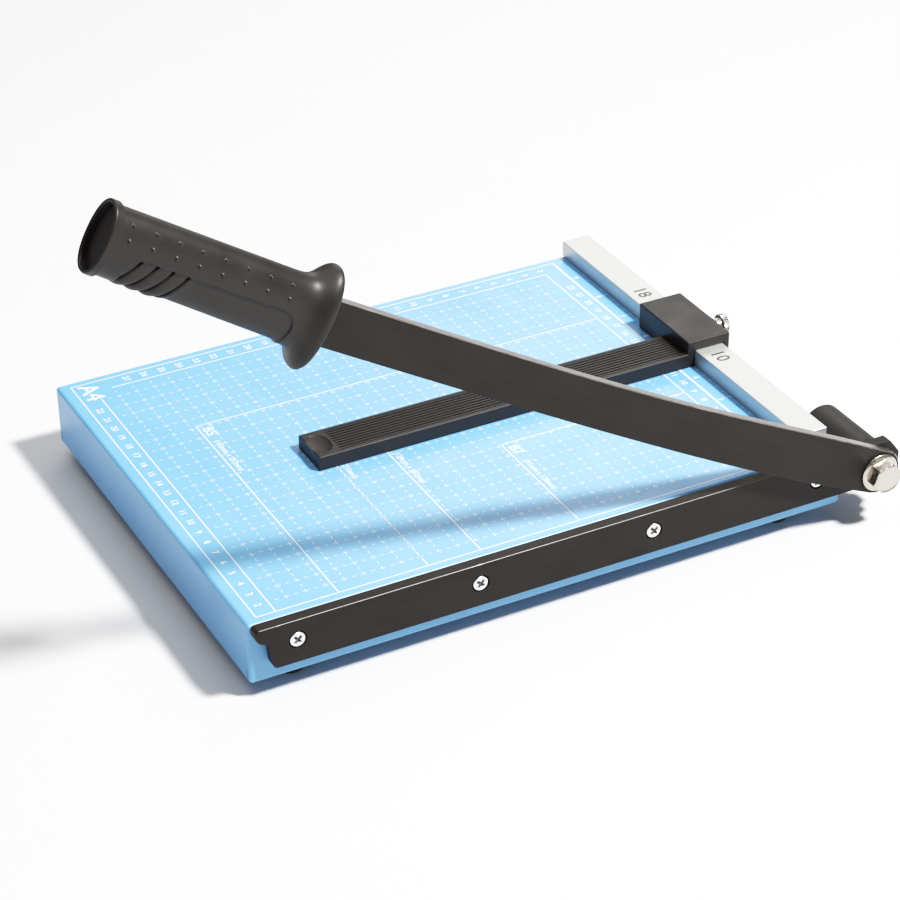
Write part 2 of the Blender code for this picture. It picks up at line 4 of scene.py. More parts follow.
import bmesh
import bpy
import numpy as np
from mathutils import Matrix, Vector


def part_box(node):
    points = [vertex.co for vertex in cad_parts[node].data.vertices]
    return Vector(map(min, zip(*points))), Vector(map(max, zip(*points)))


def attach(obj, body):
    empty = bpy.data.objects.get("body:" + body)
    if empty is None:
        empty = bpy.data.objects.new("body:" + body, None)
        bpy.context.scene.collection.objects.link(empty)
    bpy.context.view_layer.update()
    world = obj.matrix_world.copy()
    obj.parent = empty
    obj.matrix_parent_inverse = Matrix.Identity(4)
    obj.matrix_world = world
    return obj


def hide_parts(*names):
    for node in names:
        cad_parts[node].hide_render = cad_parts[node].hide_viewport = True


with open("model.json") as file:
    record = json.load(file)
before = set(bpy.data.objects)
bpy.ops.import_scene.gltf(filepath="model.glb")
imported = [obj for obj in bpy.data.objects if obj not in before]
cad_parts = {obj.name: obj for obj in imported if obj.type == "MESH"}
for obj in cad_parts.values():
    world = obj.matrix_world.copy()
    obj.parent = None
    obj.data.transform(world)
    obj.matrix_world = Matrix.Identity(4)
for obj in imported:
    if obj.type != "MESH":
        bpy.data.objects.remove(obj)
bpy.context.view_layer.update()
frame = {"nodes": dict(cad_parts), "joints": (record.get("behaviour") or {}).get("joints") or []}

# ------------------------------------------------------------------ base tray
# A shallow tray pressed from 1.2 mm sheet steel: four skirts folded down from a flat bed, and
# a lip turned in under them. The folded corners are left with a short open slit at the bottom.
# It is powder coated light blue, which leaves a fine orange-peel skin.

MM = 0.001
TRAY_SHEET = 1.2 * MM
TRAY_LIP = 24 * MM
TOP_FOLD = 2.1 * MM
LIP_FOLD = 1.8 * MM
CORNER_FOLD = 1.9 * MM
BED_CENTRE_MARGIN = 20 * MM
SLIT_WIDTH = 0.7 * MM
SLIT_HEIGHT = 7 * MM
SLIT_FROM_CORNER = 3.2 * MM
SLIT_REACH = 3 * MM


class Wire:
    """One output of a shader node. Arithmetic on wires and numbers adds Math nodes."""

    def __init__(self, finish, socket):
        self.finish = finish
        self.socket = socket

    def maths(self, operation, *values):
        return self.finish.node("ShaderNodeMath", {"operation": operation}, dict(enumerate(values)))

    def __add__(self, other):
        return self.maths("ADD", self, other)

    def __radd__(self, other):
        return self.maths("ADD", other, self)

    def __sub__(self, other):
        return self.maths("SUBTRACT", self, other)

    def __rsub__(self, other):
        return self.maths("SUBTRACT", other, self)

    def __mul__(self, other):
        return self.maths("MULTIPLY", self, other)

    def __rmul__(self, other):
        return self.maths("MULTIPLY", other, self)


class Finish:
    """A surface finish: one material, whose Principled shader takes the values and wires given."""

    def __init__(self, name, **even):
        self.material = bpy.data.materials.new(name)
        self.material.use_nodes = True
        self.tree = self.material.node_tree
        self.shader = self.tree.nodes["Principled BSDF"]
        for socket, value in even.items():
            self.feed(self.shader.inputs[socket.replace("_", " ")], value)

    def feed(self, socket, value):
        if isinstance(value, Wire):
            self.tree.links.new(value.socket, socket)
        else:
            socket.default_value = value

    def node(self, kind, settings=None, sockets=None, out=0):
        """Add a node: its settings first, then the values or wires of its sockets."""
        made = self.tree.nodes.new(kind)
        for name, value in (settings or {}).items():
            if name == "stops":
                ramp = made.color_ramp
                while len(ramp.elements) < len(value):
                    ramp.elements.new(0.5)
                for stop, (position, colour) in zip(ramp.elements, value):
                    stop.position = position
                    stop.color = colour
            else:
                setattr(made, name, value)
        for name, value in (sockets or {}).items():
            self.feed(made.inputs[name], value)
        return Wire(self, made.outputs[out])

    def grain(self, size, stretch=(1, 1, 1), turn=(0, 0, 0), detail=2.0):
        """Noise from 0 to 1 in Object coordinates, its blobs about size metres across and
        lengthened along each axis by stretch, after the pattern is turned."""
        place = self.node("ShaderNodeTexCoord", out="Object")
        laid = self.node("ShaderNodeMapping", {"vector_type": "TEXTURE"},
                         {"Vector": place, "Rotation": turn, "Scale": stretch})
        return self.node("ShaderNodeTexNoise", {},
                         {"Vector": laid, "Scale": 1 / size, "Detail": detail})

    def ramp(self, value, low, high, start=0.0, end=1.0):
        """The value's stretch from low to high, carried over to start to end and held there."""
        return self.node("ShaderNodeMapRange", {},
                         {"Value": value, "From Min": low, "From Max": high,
                          "To Min": start, "To Max": end})

    def blend(self, share, first, second):
        """A colour between two others."""
        return self.node("ShaderNodeMix", {"data_type": "RGBA"}, {0: share, 6: first, 7: second},
                         out=2)

    def bump(self, height, depth):
        """A surface raised by height, from 0 to 1, times depth in metres."""
        return self.node("ShaderNodeBump", {},
                         {"Height": height, "Distance": depth, "Strength": 1.0})

    def cover(self, colour=None, roughness=None, metallic=None, normal=None):
        """Feed what changes over the surface to the shader."""
        given = {"Base Color": colour, "Roughness": roughness, "Metallic": metallic,
                 "Normal": normal}
        for name, value in given.items():
            if value is not None:
                self.feed(self.shader.inputs[name], value)
        return self.material


def powder_coat():
    """Light blue powder coat: orange peel about 1 mm across, faint clouds and fine dust."""
    coat = Finish("powder_coat_blue", IOR=1.45)
    cloud = coat.grain(60 * MM, detail=3)
    speck = coat.ramp(coat.grain(0.9 * MM, detail=1), 0.70, 0.80)
    blue = coat.blend(coat.ramp(cloud, 0.35, 0.65), (0.108, 0.310, 0.610, 1),
                      (0.124, 0.335, 0.635, 1))
    dusty = coat.blend(speck * 0.2, blue, (0.35, 0.52, 0.65, 1))
    peel = coat.grain(1.3 * MM, detail=2)
    rough = coat.ramp(coat.grain(25 * MM, detail=4), 0.3, 0.7, 0.30, 0.40)
    return coat.cover(dusty, rough, normal=coat.bump(peel, 0.010 * MM))


def fillet(corners, steps=5, closed=False):
    """A line through corners (a, b, radius). Each arc touches both sides that meet at its
    corner, radius / tan(half their angle) from it, and is swept evenly between them."""
    count = len(corners)
    parts = []
    for number, (a, b, radius) in enumerate(corners):
        here = np.array((a, b), float)
        if radius == 0 or (not closed and number in (0, count - 1)):
            parts.append(here[None])
            continue
        before = np.array(corners[number - 1][:2]) - here
        after = np.array(corners[(number + 1) % count][:2]) - here
        before /= np.linalg.norm(before)
        after /= np.linalg.norm(after)
        half = math.acos(np.clip(before @ after, -1, 1)) / 2
        middle = (before + after) / np.linalg.norm(before + after) * radius / math.sin(half)
        start = before * radius / math.tan(half) - middle
        end = after * radius / math.tan(half) - middle
        sweep = math.pi - 2 * half
        share = np.linspace(0, 1, steps + 1)[:, None]
        swept = np.sin((1 - share) * sweep) * start + np.sin(share * sweep) * end
        parts.append(here + middle + swept / math.sin(sweep))
    return np.concatenate(parts)


def rounded_loops(section, half_x, half_y, radius, steps=6):
    """A section of (inset, height) carried round a rectangle with rounded corners: an inset
    pulls the corner arc's centre in once it has used up the arc's own radius."""
    inset = section[:, 0][:, None]
    angle = np.concatenate([np.linspace(q, q + 1, steps + 1) for q in range(4)]) * math.pi / 2
    quarter = np.repeat(np.arange(4), steps + 1)
    side_x = np.where((quarter == 0) | (quarter == 3), 1, -1)
    side_y = np.where(quarter < 2, 1, -1)
    arc = np.maximum(radius - inset, 0)
    pull = np.maximum(inset, radius)
    x = side_x * (half_x - pull) + arc * np.cos(angle)
    y = side_y * (half_y - pull) + arc * np.sin(angle)
    return np.stack([x, y, np.broadcast_to(section[:, 1][:, None], x.shape)], -1)


def settle(piece):
    """Apply a piece's modifiers."""
    graph = bpy.context.evaluated_depsgraph_get()
    made = bpy.data.meshes.new_from_object(piece.evaluated_get(graph))
    piece.modifiers.clear()
    old = piece.data
    piece.data = made
    bpy.data.meshes.remove(old)
    return piece


def shade(mesh, smooth):
    """Shade a mesh smoothly, with edges sharper than smooth degrees left crisp."""
    mesh.shade_smooth()
    mesh.set_sharp_from_angle(angle=math.radians(smooth))


def piece_of(name, points, faces, surfaces=(), tags=None, smooth=32):
    """An object from points and faces: doubles merged, faces turned outward, and shaded. Tags
    give each face's place in surfaces."""
    mesh = bpy.data.meshes.new(name)
    mesh.from_pydata(np.asarray(points, float).reshape(-1, 3).tolist(), [], faces)
    if tags is not None:
        mesh.polygons.foreach_set("material_index", np.asarray(tags, np.int32))
    shape = bmesh.new()
    shape.from_mesh(mesh)
    bmesh.ops.remove_doubles(shape, verts=shape.verts, dist=1e-6)
    bmesh.ops.recalc_face_normals(shape, faces=shape.faces)
    shape.to_mesh(mesh)
    shape.free()
    shade(mesh, smooth)
    piece = bpy.data.objects.new(name, mesh)
    for surface in surfaces:
        mesh.materials.append(surface)
    bpy.context.scene.collection.objects.link(piece)
    return piece


def lofted(name, grid, surfaces=(), row_tags=None, smooth=32):
    """A closed skin over a grid of points, row by row: each row is a loop, joined to the next
    by quads. The first and last rows are closed by one face each, unless they meet."""
    rows, columns = grid.shape[:2]
    index = np.arange(rows * columns).reshape(rows, columns)
    onward = np.roll(index, -1, axis=1)
    quads = np.stack([index[:-1], onward[:-1], onward[1:], index[1:]], -1)
    faces = quads.reshape(-1, 4).tolist()
    if not np.allclose(grid[0], grid[-1]):
        faces += [index[0, ::-1].tolist(), index[-1].tolist()]
    tags = None
    if row_tags is not None:
        tags = np.zeros(len(faces))
        tags[:quads[..., 0].size] = np.broadcast_to(row_tags, quads.shape[:2]).ravel()
    return piece_of(name, grid, faces, surfaces, tags, smooth)


def combine(piece, operation, *tools):
    """Take tools away from a piece or join them to it, and remove them."""
    for tool in tools:
        change = piece.modifiers.new("combine", "BOOLEAN")
        change.operation = operation
        change.solver = "EXACT"
        change.object = tool
        settle(piece)
        bpy.data.objects.remove(tool)
    return piece


def block(name, low, high):
    """A plain box between two corners, to cut with."""
    low, high = np.array(low), np.array(high)
    half = (high - low) / 2
    section = np.array([(0, low[2]), (0, high[2])])
    grid = rounded_loops(section, half[0], half[1], 0.0, 1)
    grid[..., :2] += ((low + high) / 2)[:2]
    return lofted(name, grid)


def evenly_shaded(piece):
    """Let the large flat faces set the shading next to narrow rounded edges."""
    weighting = piece.modifiers.new("even_shading", "WEIGHTED_NORMAL")
    weighting.keep_sharp = True
    return piece


def fitted(piece, body, slot, *nodes):
    """Attach a finished piece to the body it rides on and hide the CAD nodes it stands for. The
    slot is not used.
    """
    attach(piece, body)
    if nodes:
        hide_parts(*nodes)
    return piece


def corners(node):
    """The lowest and the highest corner of a CAD node at rest."""
    low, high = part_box(node)
    return np.array(low), np.array(high)


tray_low, tray_high = corners("base_tray")
bed_top = tray_high[2]
tray_bottom = tray_low[2]


def tray_section():
    """From the middle of the bed out over the fold, down the skirt, in along the lip, and back
    inside, one sheet thickness away."""
    sheet = TRAY_SHEET
    inner_fold = TOP_FOLD - sheet
    return fillet([
        (BED_CENTRE_MARGIN, bed_top, 0), (0, bed_top, TOP_FOLD), (0, tray_bottom, LIP_FOLD),
        (TRAY_LIP, tray_bottom, 0), (TRAY_LIP, tray_bottom + sheet, 0),
        (sheet, tray_bottom + sheet, 0.6 * MM), (sheet, bed_top - sheet, inner_fold),
        (BED_CENTRE_MARGIN, bed_top - sheet, 0)], steps=8)


def corner_slits():
    """Cutters for the slits left where the skirts meet, low on the front and back skirts."""
    made = []
    for number in range(4):
        side, end = 1 - 2 * (number % 2), 1 - 2 * (number // 2)
        edge = tray_high if side > 0 else tray_low
        wall = tray_high if end > 0 else tray_low
        x = edge[0] - side * SLIT_FROM_CORNER
        y = wall[1]
        made.append(block(f"slit_{number}", (x - SLIT_WIDTH / 2, y - SLIT_REACH, tray_bottom - MM),
                          (x + SLIT_WIDTH / 2, y + SLIT_REACH, tray_bottom + SLIT_HEIGHT)))
    return made


tray_size = tray_high - tray_low
tray_grid = rounded_loops(tray_section(), tray_size[0] / 2, tray_size[1] / 2, CORNER_FOLD)
tray_grid[..., :2] += ((tray_low + tray_high) / 2)[:2]
tray = lofted("tray", tray_grid, [powder_coat()])
combine(tray, "DIFFERENCE", *corner_slits())
shade(tray.data, 32)
fitted(evenly_shaded(tray), "base", "blue_paint", "base_tray")


# ------------------------------------------------------------------ rulers on the bed
# Centimetre and inch rulers, a dashed centimetre grid and the outlines of the usual paper
# sizes, screen printed on the bed in white ink. All of them count from the cutting edge and
# from the fence, so their zero is where the lower blade and the rail are.

INK = 0.03 * MM
CENTIMETRE = 10 * MM
INCH = 25.4 * MM
LINE = 0.6 * MM
FENCE_LINE = 1.1 * MM
GRID_LINE = 0.3 * MM
CROSS_ARM = 1.6 * MM
DASH_HALF = 1.0 * MM
TICKS_PER_INCH = 4
TICK = 2.2 * MM
LONG_TICK = 3.6 * MM
BORDER = (11.3 * MM, 9.4 * MM, 250 * MM, 299.4 * MM)
BAND = 10 * MM
CORNER_MARK = 19 * MM
PAPER_SIZES = {"B5": (182, 257), "A5": (148, 210), "B6": (128, 182), "B7": (91, 128)}
NUMERAL = 3.6 * MM
INCH_NUMERAL = 3.2 * MM
SIZE_NAME = 5.8 * MM
SIZE_NOTE = 4.0 * MM
CORNER_NAME = 10.5 * MM
FONT_DIGIT = 0.73
zero_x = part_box("lower_blade")[1].x
zero_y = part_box("fence_rail")[0].y
border_in, border_fence, border_out, border_front = BORDER


def white_ink():
    """White screen ink, thin enough for the blue to show where it is uneven."""
    ink = Finish("white_print", IOR=1.5)
    thin = ink.ramp(ink.grain(0.5 * MM, detail=3), 0.55, 0.75)
    return ink.cover(ink.blend(thin * 0.35, (0.62, 0.70, 0.74, 1), (0.34, 0.54, 0.68, 1)), 0.42)


def slabs(rectangles, low, high):
    """Points and faces of one closed slab for each row of (x, y, x, y)."""
    rectangles = np.asarray(rectangles)
    count = len(rectangles)
    flat = rectangles[:, np.array([[0, 1], [2, 1], [2, 3], [0, 3]])]
    points = np.empty((count, 8, 3))
    points[:, :4, :2] = points[:, 4:, :2] = flat
    points[:, :4, 2], points[:, 4:, 2] = low, high
    sides = np.array([[3, 2, 1, 0], [4, 5, 6, 7], [0, 1, 5, 4], [1, 2, 6, 5], [2, 3, 7, 6],
                      [3, 0, 4, 7]])
    faces = sides[None] + 8 * np.arange(count)[:, None, None]
    return points.reshape(-1, 3), faces.reshape(-1, 4).tolist()


def ruled(a0, b0, a1, b1):
    """A rectangle by its distances from the cutting edge (a) and from the fence (b)."""
    a0, a1 = np.maximum(a0, a1), np.minimum(a0, a1)
    b0, b1 = np.maximum(b0, b1), np.minimum(b0, b1)
    return np.stack(np.broadcast_arrays(zero_x - a0, zero_y - b0, zero_x - a1, zero_y - b1), -1)


def across(b, a0, a1, width=LINE):
    """A line at a distance b from the fence, from a0 to a1."""
    return ruled(a0, b - width / 2, a1, b + width / 2)


def along(a, b0, b1, width=LINE):
    """A line at a distance a from the cutting edge, from b0 to b1."""
    return ruled(a - width / 2, b0, a + width / 2, b1)


def ruler_lines():
    """The border, the inner edges of the number bands, the paper sizes and the inch ticks."""
    half = LINE / 2
    inner_out, inner_front = border_out - BAND, border_front - BAND
    inner_fence = border_fence + BAND
    lines = [
        across(border_fence, border_in - half, border_out + half, FENCE_LINE),
        across(border_front, border_in - half, border_out + half),
        along(border_in, border_fence, border_front), along(border_out, border_fence, border_front),
        across(inner_fence, border_in, inner_out + half),
        across(inner_front, border_in, border_out - CORNER_MARK),
        along(inner_out, inner_fence, border_front - CORNER_MARK)]
    for wide, tall in PAPER_SIZES.values():
        lines += [across(tall * MM, border_in, wide * MM + half),
                  along(wide * MM, inner_fence, tall * MM)]
    for number in range(1, 37):
        a = number * INCH / TICKS_PER_INCH
        if a > border_in:
            end = TICK if number % TICKS_PER_INCH else LONG_TICK
            lines.append(along(a, 0.3 * MM, end, GRID_LINE))
    return np.stack(lines)


def grid_dashes():
    """The dashed centimetre grid: a small cross at each crossing, a dash between crossings."""
    made = []
    for a_step, b_step, half in ((0, 0, CROSS_ARM), (0.5, 0, DASH_HALF)):
        a = (np.arange(2, 24) + a_step) * CENTIMETRE
        b = (np.arange(2, 29) + b_step) * CENTIMETRE
        a, b = (grid.ravel() for grid in np.meshgrid(a, b))
        keep = (a < border_out - BAND - MM) & (b > border_fence + BAND + MM)
        made.append(across(b[keep], a[keep] - half, a[keep] + half, GRID_LINE))
    for a_step, b_step, half in ((0, 0, CROSS_ARM), (0, 0.5, DASH_HALF)):
        a = (np.arange(2, 24) + a_step) * CENTIMETRE
        b = (np.arange(2, 29) + b_step) * CENTIMETRE
        a, b = (grid.ravel() for grid in np.meshgrid(a, b))
        keep = (b < border_front - BAND - MM) & (b > border_fence + BAND + MM)
        made.append(along(a[keep], b[keep] - half, b[keep] + half, GRID_LINE))
    return np.concatenate(made)


def lettering(name, words, low, high, surface, bold=0.0):
    """Closed solids of words, each (text, height, x, y) centred on its place."""
    points, faces, start = [], [], 0
    for text, height, x, y in words:
        line = bpy.data.curves.new("word", "FONT")
        line.body = text
        line.extrude = 0.5
        line.offset = bold
        line.resolution_u = 2
        word = bpy.data.objects.new("word", line)
        bpy.context.scene.collection.objects.link(word)
        bpy.context.view_layer.update()
        mesh = bpy.data.meshes.new_from_object(
            word.evaluated_get(bpy.context.evaluated_depsgraph_get()))
        spots = np.empty(len(mesh.vertices) * 3)
        mesh.vertices.foreach_get("co", spots)
        spots = spots.reshape(-1, 3)
        lowest, highest = spots.min(0), spots.max(0)
        size = height / (highest[1] - lowest[1] if text[0] == "(" else FONT_DIGIT)
        spots[:, :2] = (spots[:, :2] - (lowest + highest)[:2] / 2) * size + (x, y)
        spots[:, 2] = np.where(spots[:, 2] > 0, high, low)
        points.append(spots)
        faces += [[start + v for v in face.vertices] for face in mesh.polygons]
        start += len(spots)
        bpy.data.objects.remove(word)
        bpy.data.meshes.remove(mesh)
        bpy.data.curves.remove(line)
    return piece_of(name, np.concatenate(points), faces, [surface])


def numerals():
    """Centimetre numbers in the three bands, inch numbers by the fence, and the paper sizes."""
    words = []
    for number in range(1, 23):
        a = zero_x - number * CENTIMETRE
        words.append((str(number), NUMERAL, a, zero_y - border_front + BAND / 2))
        words.append((str(number), NUMERAL, a, zero_y - border_fence - BAND / 2))
    for number in range(2, 28):
        words.append((str(number), NUMERAL, zero_x - border_out + BAND / 2,
                      zero_y - number * CENTIMETRE))
    for number in range(1, 10):
        words.append((str(number), INCH_NUMERAL, zero_x - number * INCH, zero_y - 6.2 * MM))
    words = [word for word in words if word[2] < zero_x - border_in - MM]
    for size, (wide, tall) in PAPER_SIZES.items():
        corner = zero_x - wide * MM
        y = zero_y - tall * MM
        words.append((size, SIZE_NAME, corner + 7.8 * MM, y + 4.6 * MM))
        words.append((f"({wide}mm x {tall}mm)", SIZE_NOTE, corner + 34 * MM, y + 3.4 * MM))
    words.append(("A4", CORNER_NAME, zero_x - border_out + 9.8 * MM,
                  zero_y - border_front + 8 * MM))
    return words


ink_low, ink_high = bed_top + INK / 3, bed_top + INK * 4 / 3
ink = white_ink()
line_points, line_faces = slabs(np.concatenate([ruler_lines(), grid_dashes()]), ink_low, ink_high)
mesh_of_lines = bpy.data.meshes.new("bed_rulers")
mesh_of_lines.from_pydata(line_points.tolist(), [], line_faces)
mesh_of_lines.materials.append(ink)
bed_rulers = bpy.data.objects.new("bed_rulers", mesh_of_lines)
bpy.context.scene.collection.objects.link(bed_rulers)
fitted(bed_rulers, "base", "blue_paint")
bed_numbers = lettering("bed_numbers", numerals(), ink_low, ink_high, ink, 0.012)
fitted(bed_numbers, "base", "blue_paint")


# ------------------------------------------------------------------ feet
# Four rubber feet moulded with a recess for the screw that holds each one under the lip.
# The rubber is matt black, with a slightly dusty bloom.

FOOT_BORE = 2.4 * MM
FOOT_RECESS = 4.6 * MM
FOOT_RECESS_DEEP = 4 * MM


def rubber():
    """Matt black rubber with a fine grain."""
    matt = Finish("foot_rubber", IOR=1.5)
    bloom = matt.ramp(matt.grain(3 * MM, detail=3), 0.4, 0.75)
    colour = matt.blend(bloom, (0.012, 0.012, 0.012, 1), (0.03, 0.03, 0.03, 1))
    return matt.cover(colour, 0.8, normal=matt.bump(matt.grain(0.3 * MM), 0.02 * MM))


def turned(name, profile, centre, axis, surfaces=(), columns=48):
    """A profile of (radius, height) carried round a line through centre along X, Y or Z."""
    angle = np.arange(columns) * 2 * math.pi / columns
    radius, height = np.asarray(profile)[:, 0][:, None], np.asarray(profile)[:, 1][:, None]
    flat = [radius * np.cos(angle), radius * np.sin(angle)]
    flat.insert("XYZ".index(axis), np.broadcast_to(height, flat[0].shape))
    grid = np.stack(flat, -1) + np.asarray(centre)
    return lofted(name, grid, surfaces)


foot_surface = rubber()
for foot_name in ("front_left", "front_right", "rear_left", "rear_right"):
    foot_low, foot_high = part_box(f"foot_{foot_name}")
    foot_radius = (foot_high.x - foot_low.x) / 2
    foot_tall = foot_high.z
    foot_profile = fillet([
        (FOOT_BORE, foot_tall, 0), (foot_radius, foot_tall, 0.5 * MM),
        (foot_radius, foot_tall * 0.62, 0.4 * MM),
        (foot_radius - 0.7 * MM, foot_tall * 0.55, 0.4 * MM),
        (foot_radius - 1.6 * MM, 0, 1.1 * MM), (FOOT_RECESS, 0, 0.5 * MM),
        (FOOT_RECESS, FOOT_RECESS_DEEP, 0.3 * MM), (FOOT_BORE, FOOT_RECESS_DEEP, 0),
        (FOOT_BORE, foot_tall, 0)], steps=4)
    foot_centre = ((foot_low.x + foot_high.x) / 2, (foot_low.y + foot_high.y) / 2, 0)
    foot = turned(f"rubber_foot_{foot_name}", foot_profile, foot_centre, "Z", [foot_surface])
    fitted(foot, "base", "rubber", f"foot_{foot_name}")


# ------------------------------------------------------------------ lower blade
# The fixed blade: a bar of tool steel, blackened all over and then ground along its upper
# outer edge, which is the cutting edge. Its nose overhangs a notch at the operator's end, and
# the ear at the other end takes the pivot. Four countersunk holes let the screws sit flush.

NOSE_DEEP = 8.6 * MM
NOSE_LONG = 6.6 * MM
STEP_LONG = 8.6 * MM
EDGE_GRIND = 0.2 * MM
EDGE_BREAK = 0.25 * MM
EAR_LONG = 25 * MM
SINK_RADIUS = 5.1 * MM
SINK_DEEP = 2.9 * MM
SCREW_HOLE = 2.3 * MM
PIVOT_HOLE = 5.3 * MM
CUTTER_HALF = 12 * MM
pivot = np.array(next(j for j in frame["joints"] if j["name"] == "arm_pivot")["pos_m"])


def blackened_steel(turn=(0, 0, 0)):
    """Hot-blackened steel: brown-black oxide over the streaks of rolling and grinding."""
    steel = Finish("blackened_steel", IOR=1.22)
    streak = steel.grain(0.5 * MM, (8, 60, 1), turn, detail=3)
    cloud = steel.grain(12 * MM, (1, 2.5, 1), turn, detail=4)
    tone = steel.ramp(streak * 0.5 + cloud * 0.5, 0.38, 0.62)
    colour = steel.blend(tone, (0.0070, 0.0058, 0.0048, 1), (0.0124, 0.0101, 0.0085, 1))
    speck = steel.ramp(steel.grain(0.7 * MM, detail=1), 0.76, 0.80)
    colour = steel.blend(speck * 0.4, colour, (0.05, 0.032, 0.02, 1))
    rough = steel.ramp(tone + steel.grain(3 * MM) * 0.4, 0.2, 1.2, 0.42, 0.56)
    return steel.cover(colour, rough, 0.0, steel.bump(streak, 0.006 * MM))


def ground_steel(name, oxide, turn=(0, 0, 0)):
    """Bare ground steel with scratches along it. Oxide is the share of it left dark."""
    steel = Finish(name, IOR=1.5)
    scratch = steel.grain(0.25 * MM, (1, 40, 1), turn, detail=2)
    patch = steel.grain(5 * MM, (1, 4, 1), turn, detail=5)
    left = steel.ramp(patch, 0.28 + oxide * 0.4, 0.40 + oxide * 0.4, 1, 0)
    bright = steel.blend(scratch, (0.27, 0.25, 0.225, 1), (0.40, 0.375, 0.345, 1))
    colour = steel.blend(left * 0.85, bright, (0.055, 0.035, 0.025, 1))
    return steel.cover(colour, steel.ramp(scratch, 0.3, 0.7, 0.26, 0.42), 1 - left,
                       steel.bump(scratch, 0.004 * MM))


def slab_grid(outline, inner, outer, inner_break, outer_break):
    """A plate across X round an outline of (y, z), as four rows: the inner face's rim, the two
    rims of the edge face and the outer face's rim. A break (inset, depth) moves a rim in along
    the line that halves the angle of its two edges, and starts depth from the face."""
    before = outline - np.roll(outline, 1, axis=0)
    after = np.roll(outline, -1, axis=0) - outline
    before /= np.linalg.norm(before, axis=1, keepdims=True)
    after /= np.linalg.norm(after, axis=1, keepdims=True)
    left, right = (np.stack([-edge[:, 1], edge[:, 0]], -1) for edge in (before, after))
    inward = (left + right) / (1 + (left * right).sum(1, keepdims=True))
    inner_inset, inner_depth = np.broadcast_to(inner_break, (len(outline), 2)).T
    outer_inset, outer_depth = np.broadcast_to(outer_break, (len(outline), 2)).T
    inset = np.stack([inner_inset, inner_inset * 0, outer_inset * 0, outer_inset])
    level = np.stack([inner_depth * 0 + inner, inner + inner_depth, outer - outer_depth,
                      outer_depth * 0 + outer])
    return np.concatenate([level[..., None], outline + inward * inset[..., None]], -1)


blade_low, blade_high = corners("lower_blade")
ear = blade_high[1]


def blade_outline():
    """Counter-clockwise from the top of the nose, in (y, z)."""
    front, top, low = blade_low[1], blade_high[2], blade_low[2]
    return fillet([
        (front, top, 2.4 * MM), (front, top - NOSE_DEEP, 5.5 * MM),
        (front + NOSE_LONG, top - NOSE_DEEP, 1.0 * MM), (front + STEP_LONG, low, 2.4 * MM),
        (ear - 8 * MM, low, 4 * MM), (ear, low + 8 * MM, 5 * MM),
        (ear, top - 8 * MM, 3 * MM), (ear - 6 * MM, top, 2 * MM),
        (pivot[1] - EAR_LONG, top, 0)], steps=6, closed=True)


def ground_top(outline):
    """Face tags that leave only the outer edge along the blade's top bare, short of the ear."""
    level = (outline[:, 1] > blade_high[2] - 0.1 * MM) & (outline[:, 0] < pivot[1] - EAR_LONG + MM)
    top = (level & np.roll(level, -1)).astype(int)
    return np.stack([top * 0, top * 0, top])


blade_line = blade_outline()
blade_grid = slab_grid(blade_line, blade_low[0], blade_high[0], (EDGE_BREAK, EDGE_BREAK),
                       (EDGE_GRIND, EDGE_GRIND))
lower_blade = lofted("fixed_blade", blade_grid,
                     [blackened_steel(), ground_steel("ground_edge", 0.8)],
                     ground_top(blade_line))
screw_names = [f"blade_screw_{number}" for number in range(1, 5)]
screw_boxes = [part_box(screw) for screw in screw_names]
screw_spots = [np.array((blade_high[0], (low.y + high.y) / 2, (low.z + high.z) / 2))
               for low, high in screw_boxes]
sink_profile = [(SCREW_HOLE, -CUTTER_HALF), (SCREW_HOLE, -SINK_DEEP),
                (SINK_RADIUS - 0.4 * MM, -0.6 * MM), (SINK_RADIUS - 0.4 * MM, -0.1 * MM),
                (SINK_RADIUS + 0.4 * MM, 0.6 * MM)]
combine(lower_blade, "DIFFERENCE",
        *[turned("sink", sink_profile, spot, "X", columns=40) for spot in screw_spots],
        turned("pivot_hole", [(PIVOT_HOLE, -CUTTER_HALF), (PIVOT_HOLE, CUTTER_HALF)], pivot, "X"))
shade(lower_blade.data, 28)
fitted(evenly_shaded(lower_blade), "base", "black_steel", "lower_blade")


# ------------------------------------------------------------------ blade screws
# Zinc-plated countersunk screws with a cross recess. They clamp the lower blade to the skirt
# with hexagon nuts inside the tray, and were driven home to different angles.

HEAD_RADIUS = 3.85 * MM
HEAD_RIM = 0.25 * MM
HEAD_RISE = 0.35 * MM
SHANK = 2.0 * MM
RECESS_DEEP = 1.7 * MM
RECESS_HALF = 0.6 * MM
RECESS_REACH = 2.4 * MM
RECESS_WALL = 0.07 * MM
SPOKES = 96
DRIVEN_TO = (48, 41, 50, 30)


def zinc_plate():
    """Bright zinc plating, a little cloudy."""
    zinc = Finish("zinc_plate", IOR=1.5)
    cloud = zinc.grain(1.2 * MM, detail=4)
    colour = zinc.blend(cloud, (0.66, 0.67, 0.68, 1), (0.88, 0.88, 0.87, 1))
    return zinc.cover(colour, zinc.ramp(cloud, 0.3, 0.7, 0.22, 0.40), 1.0,
                      zinc.bump(zinc.grain(0.2 * MM), 0.003 * MM))


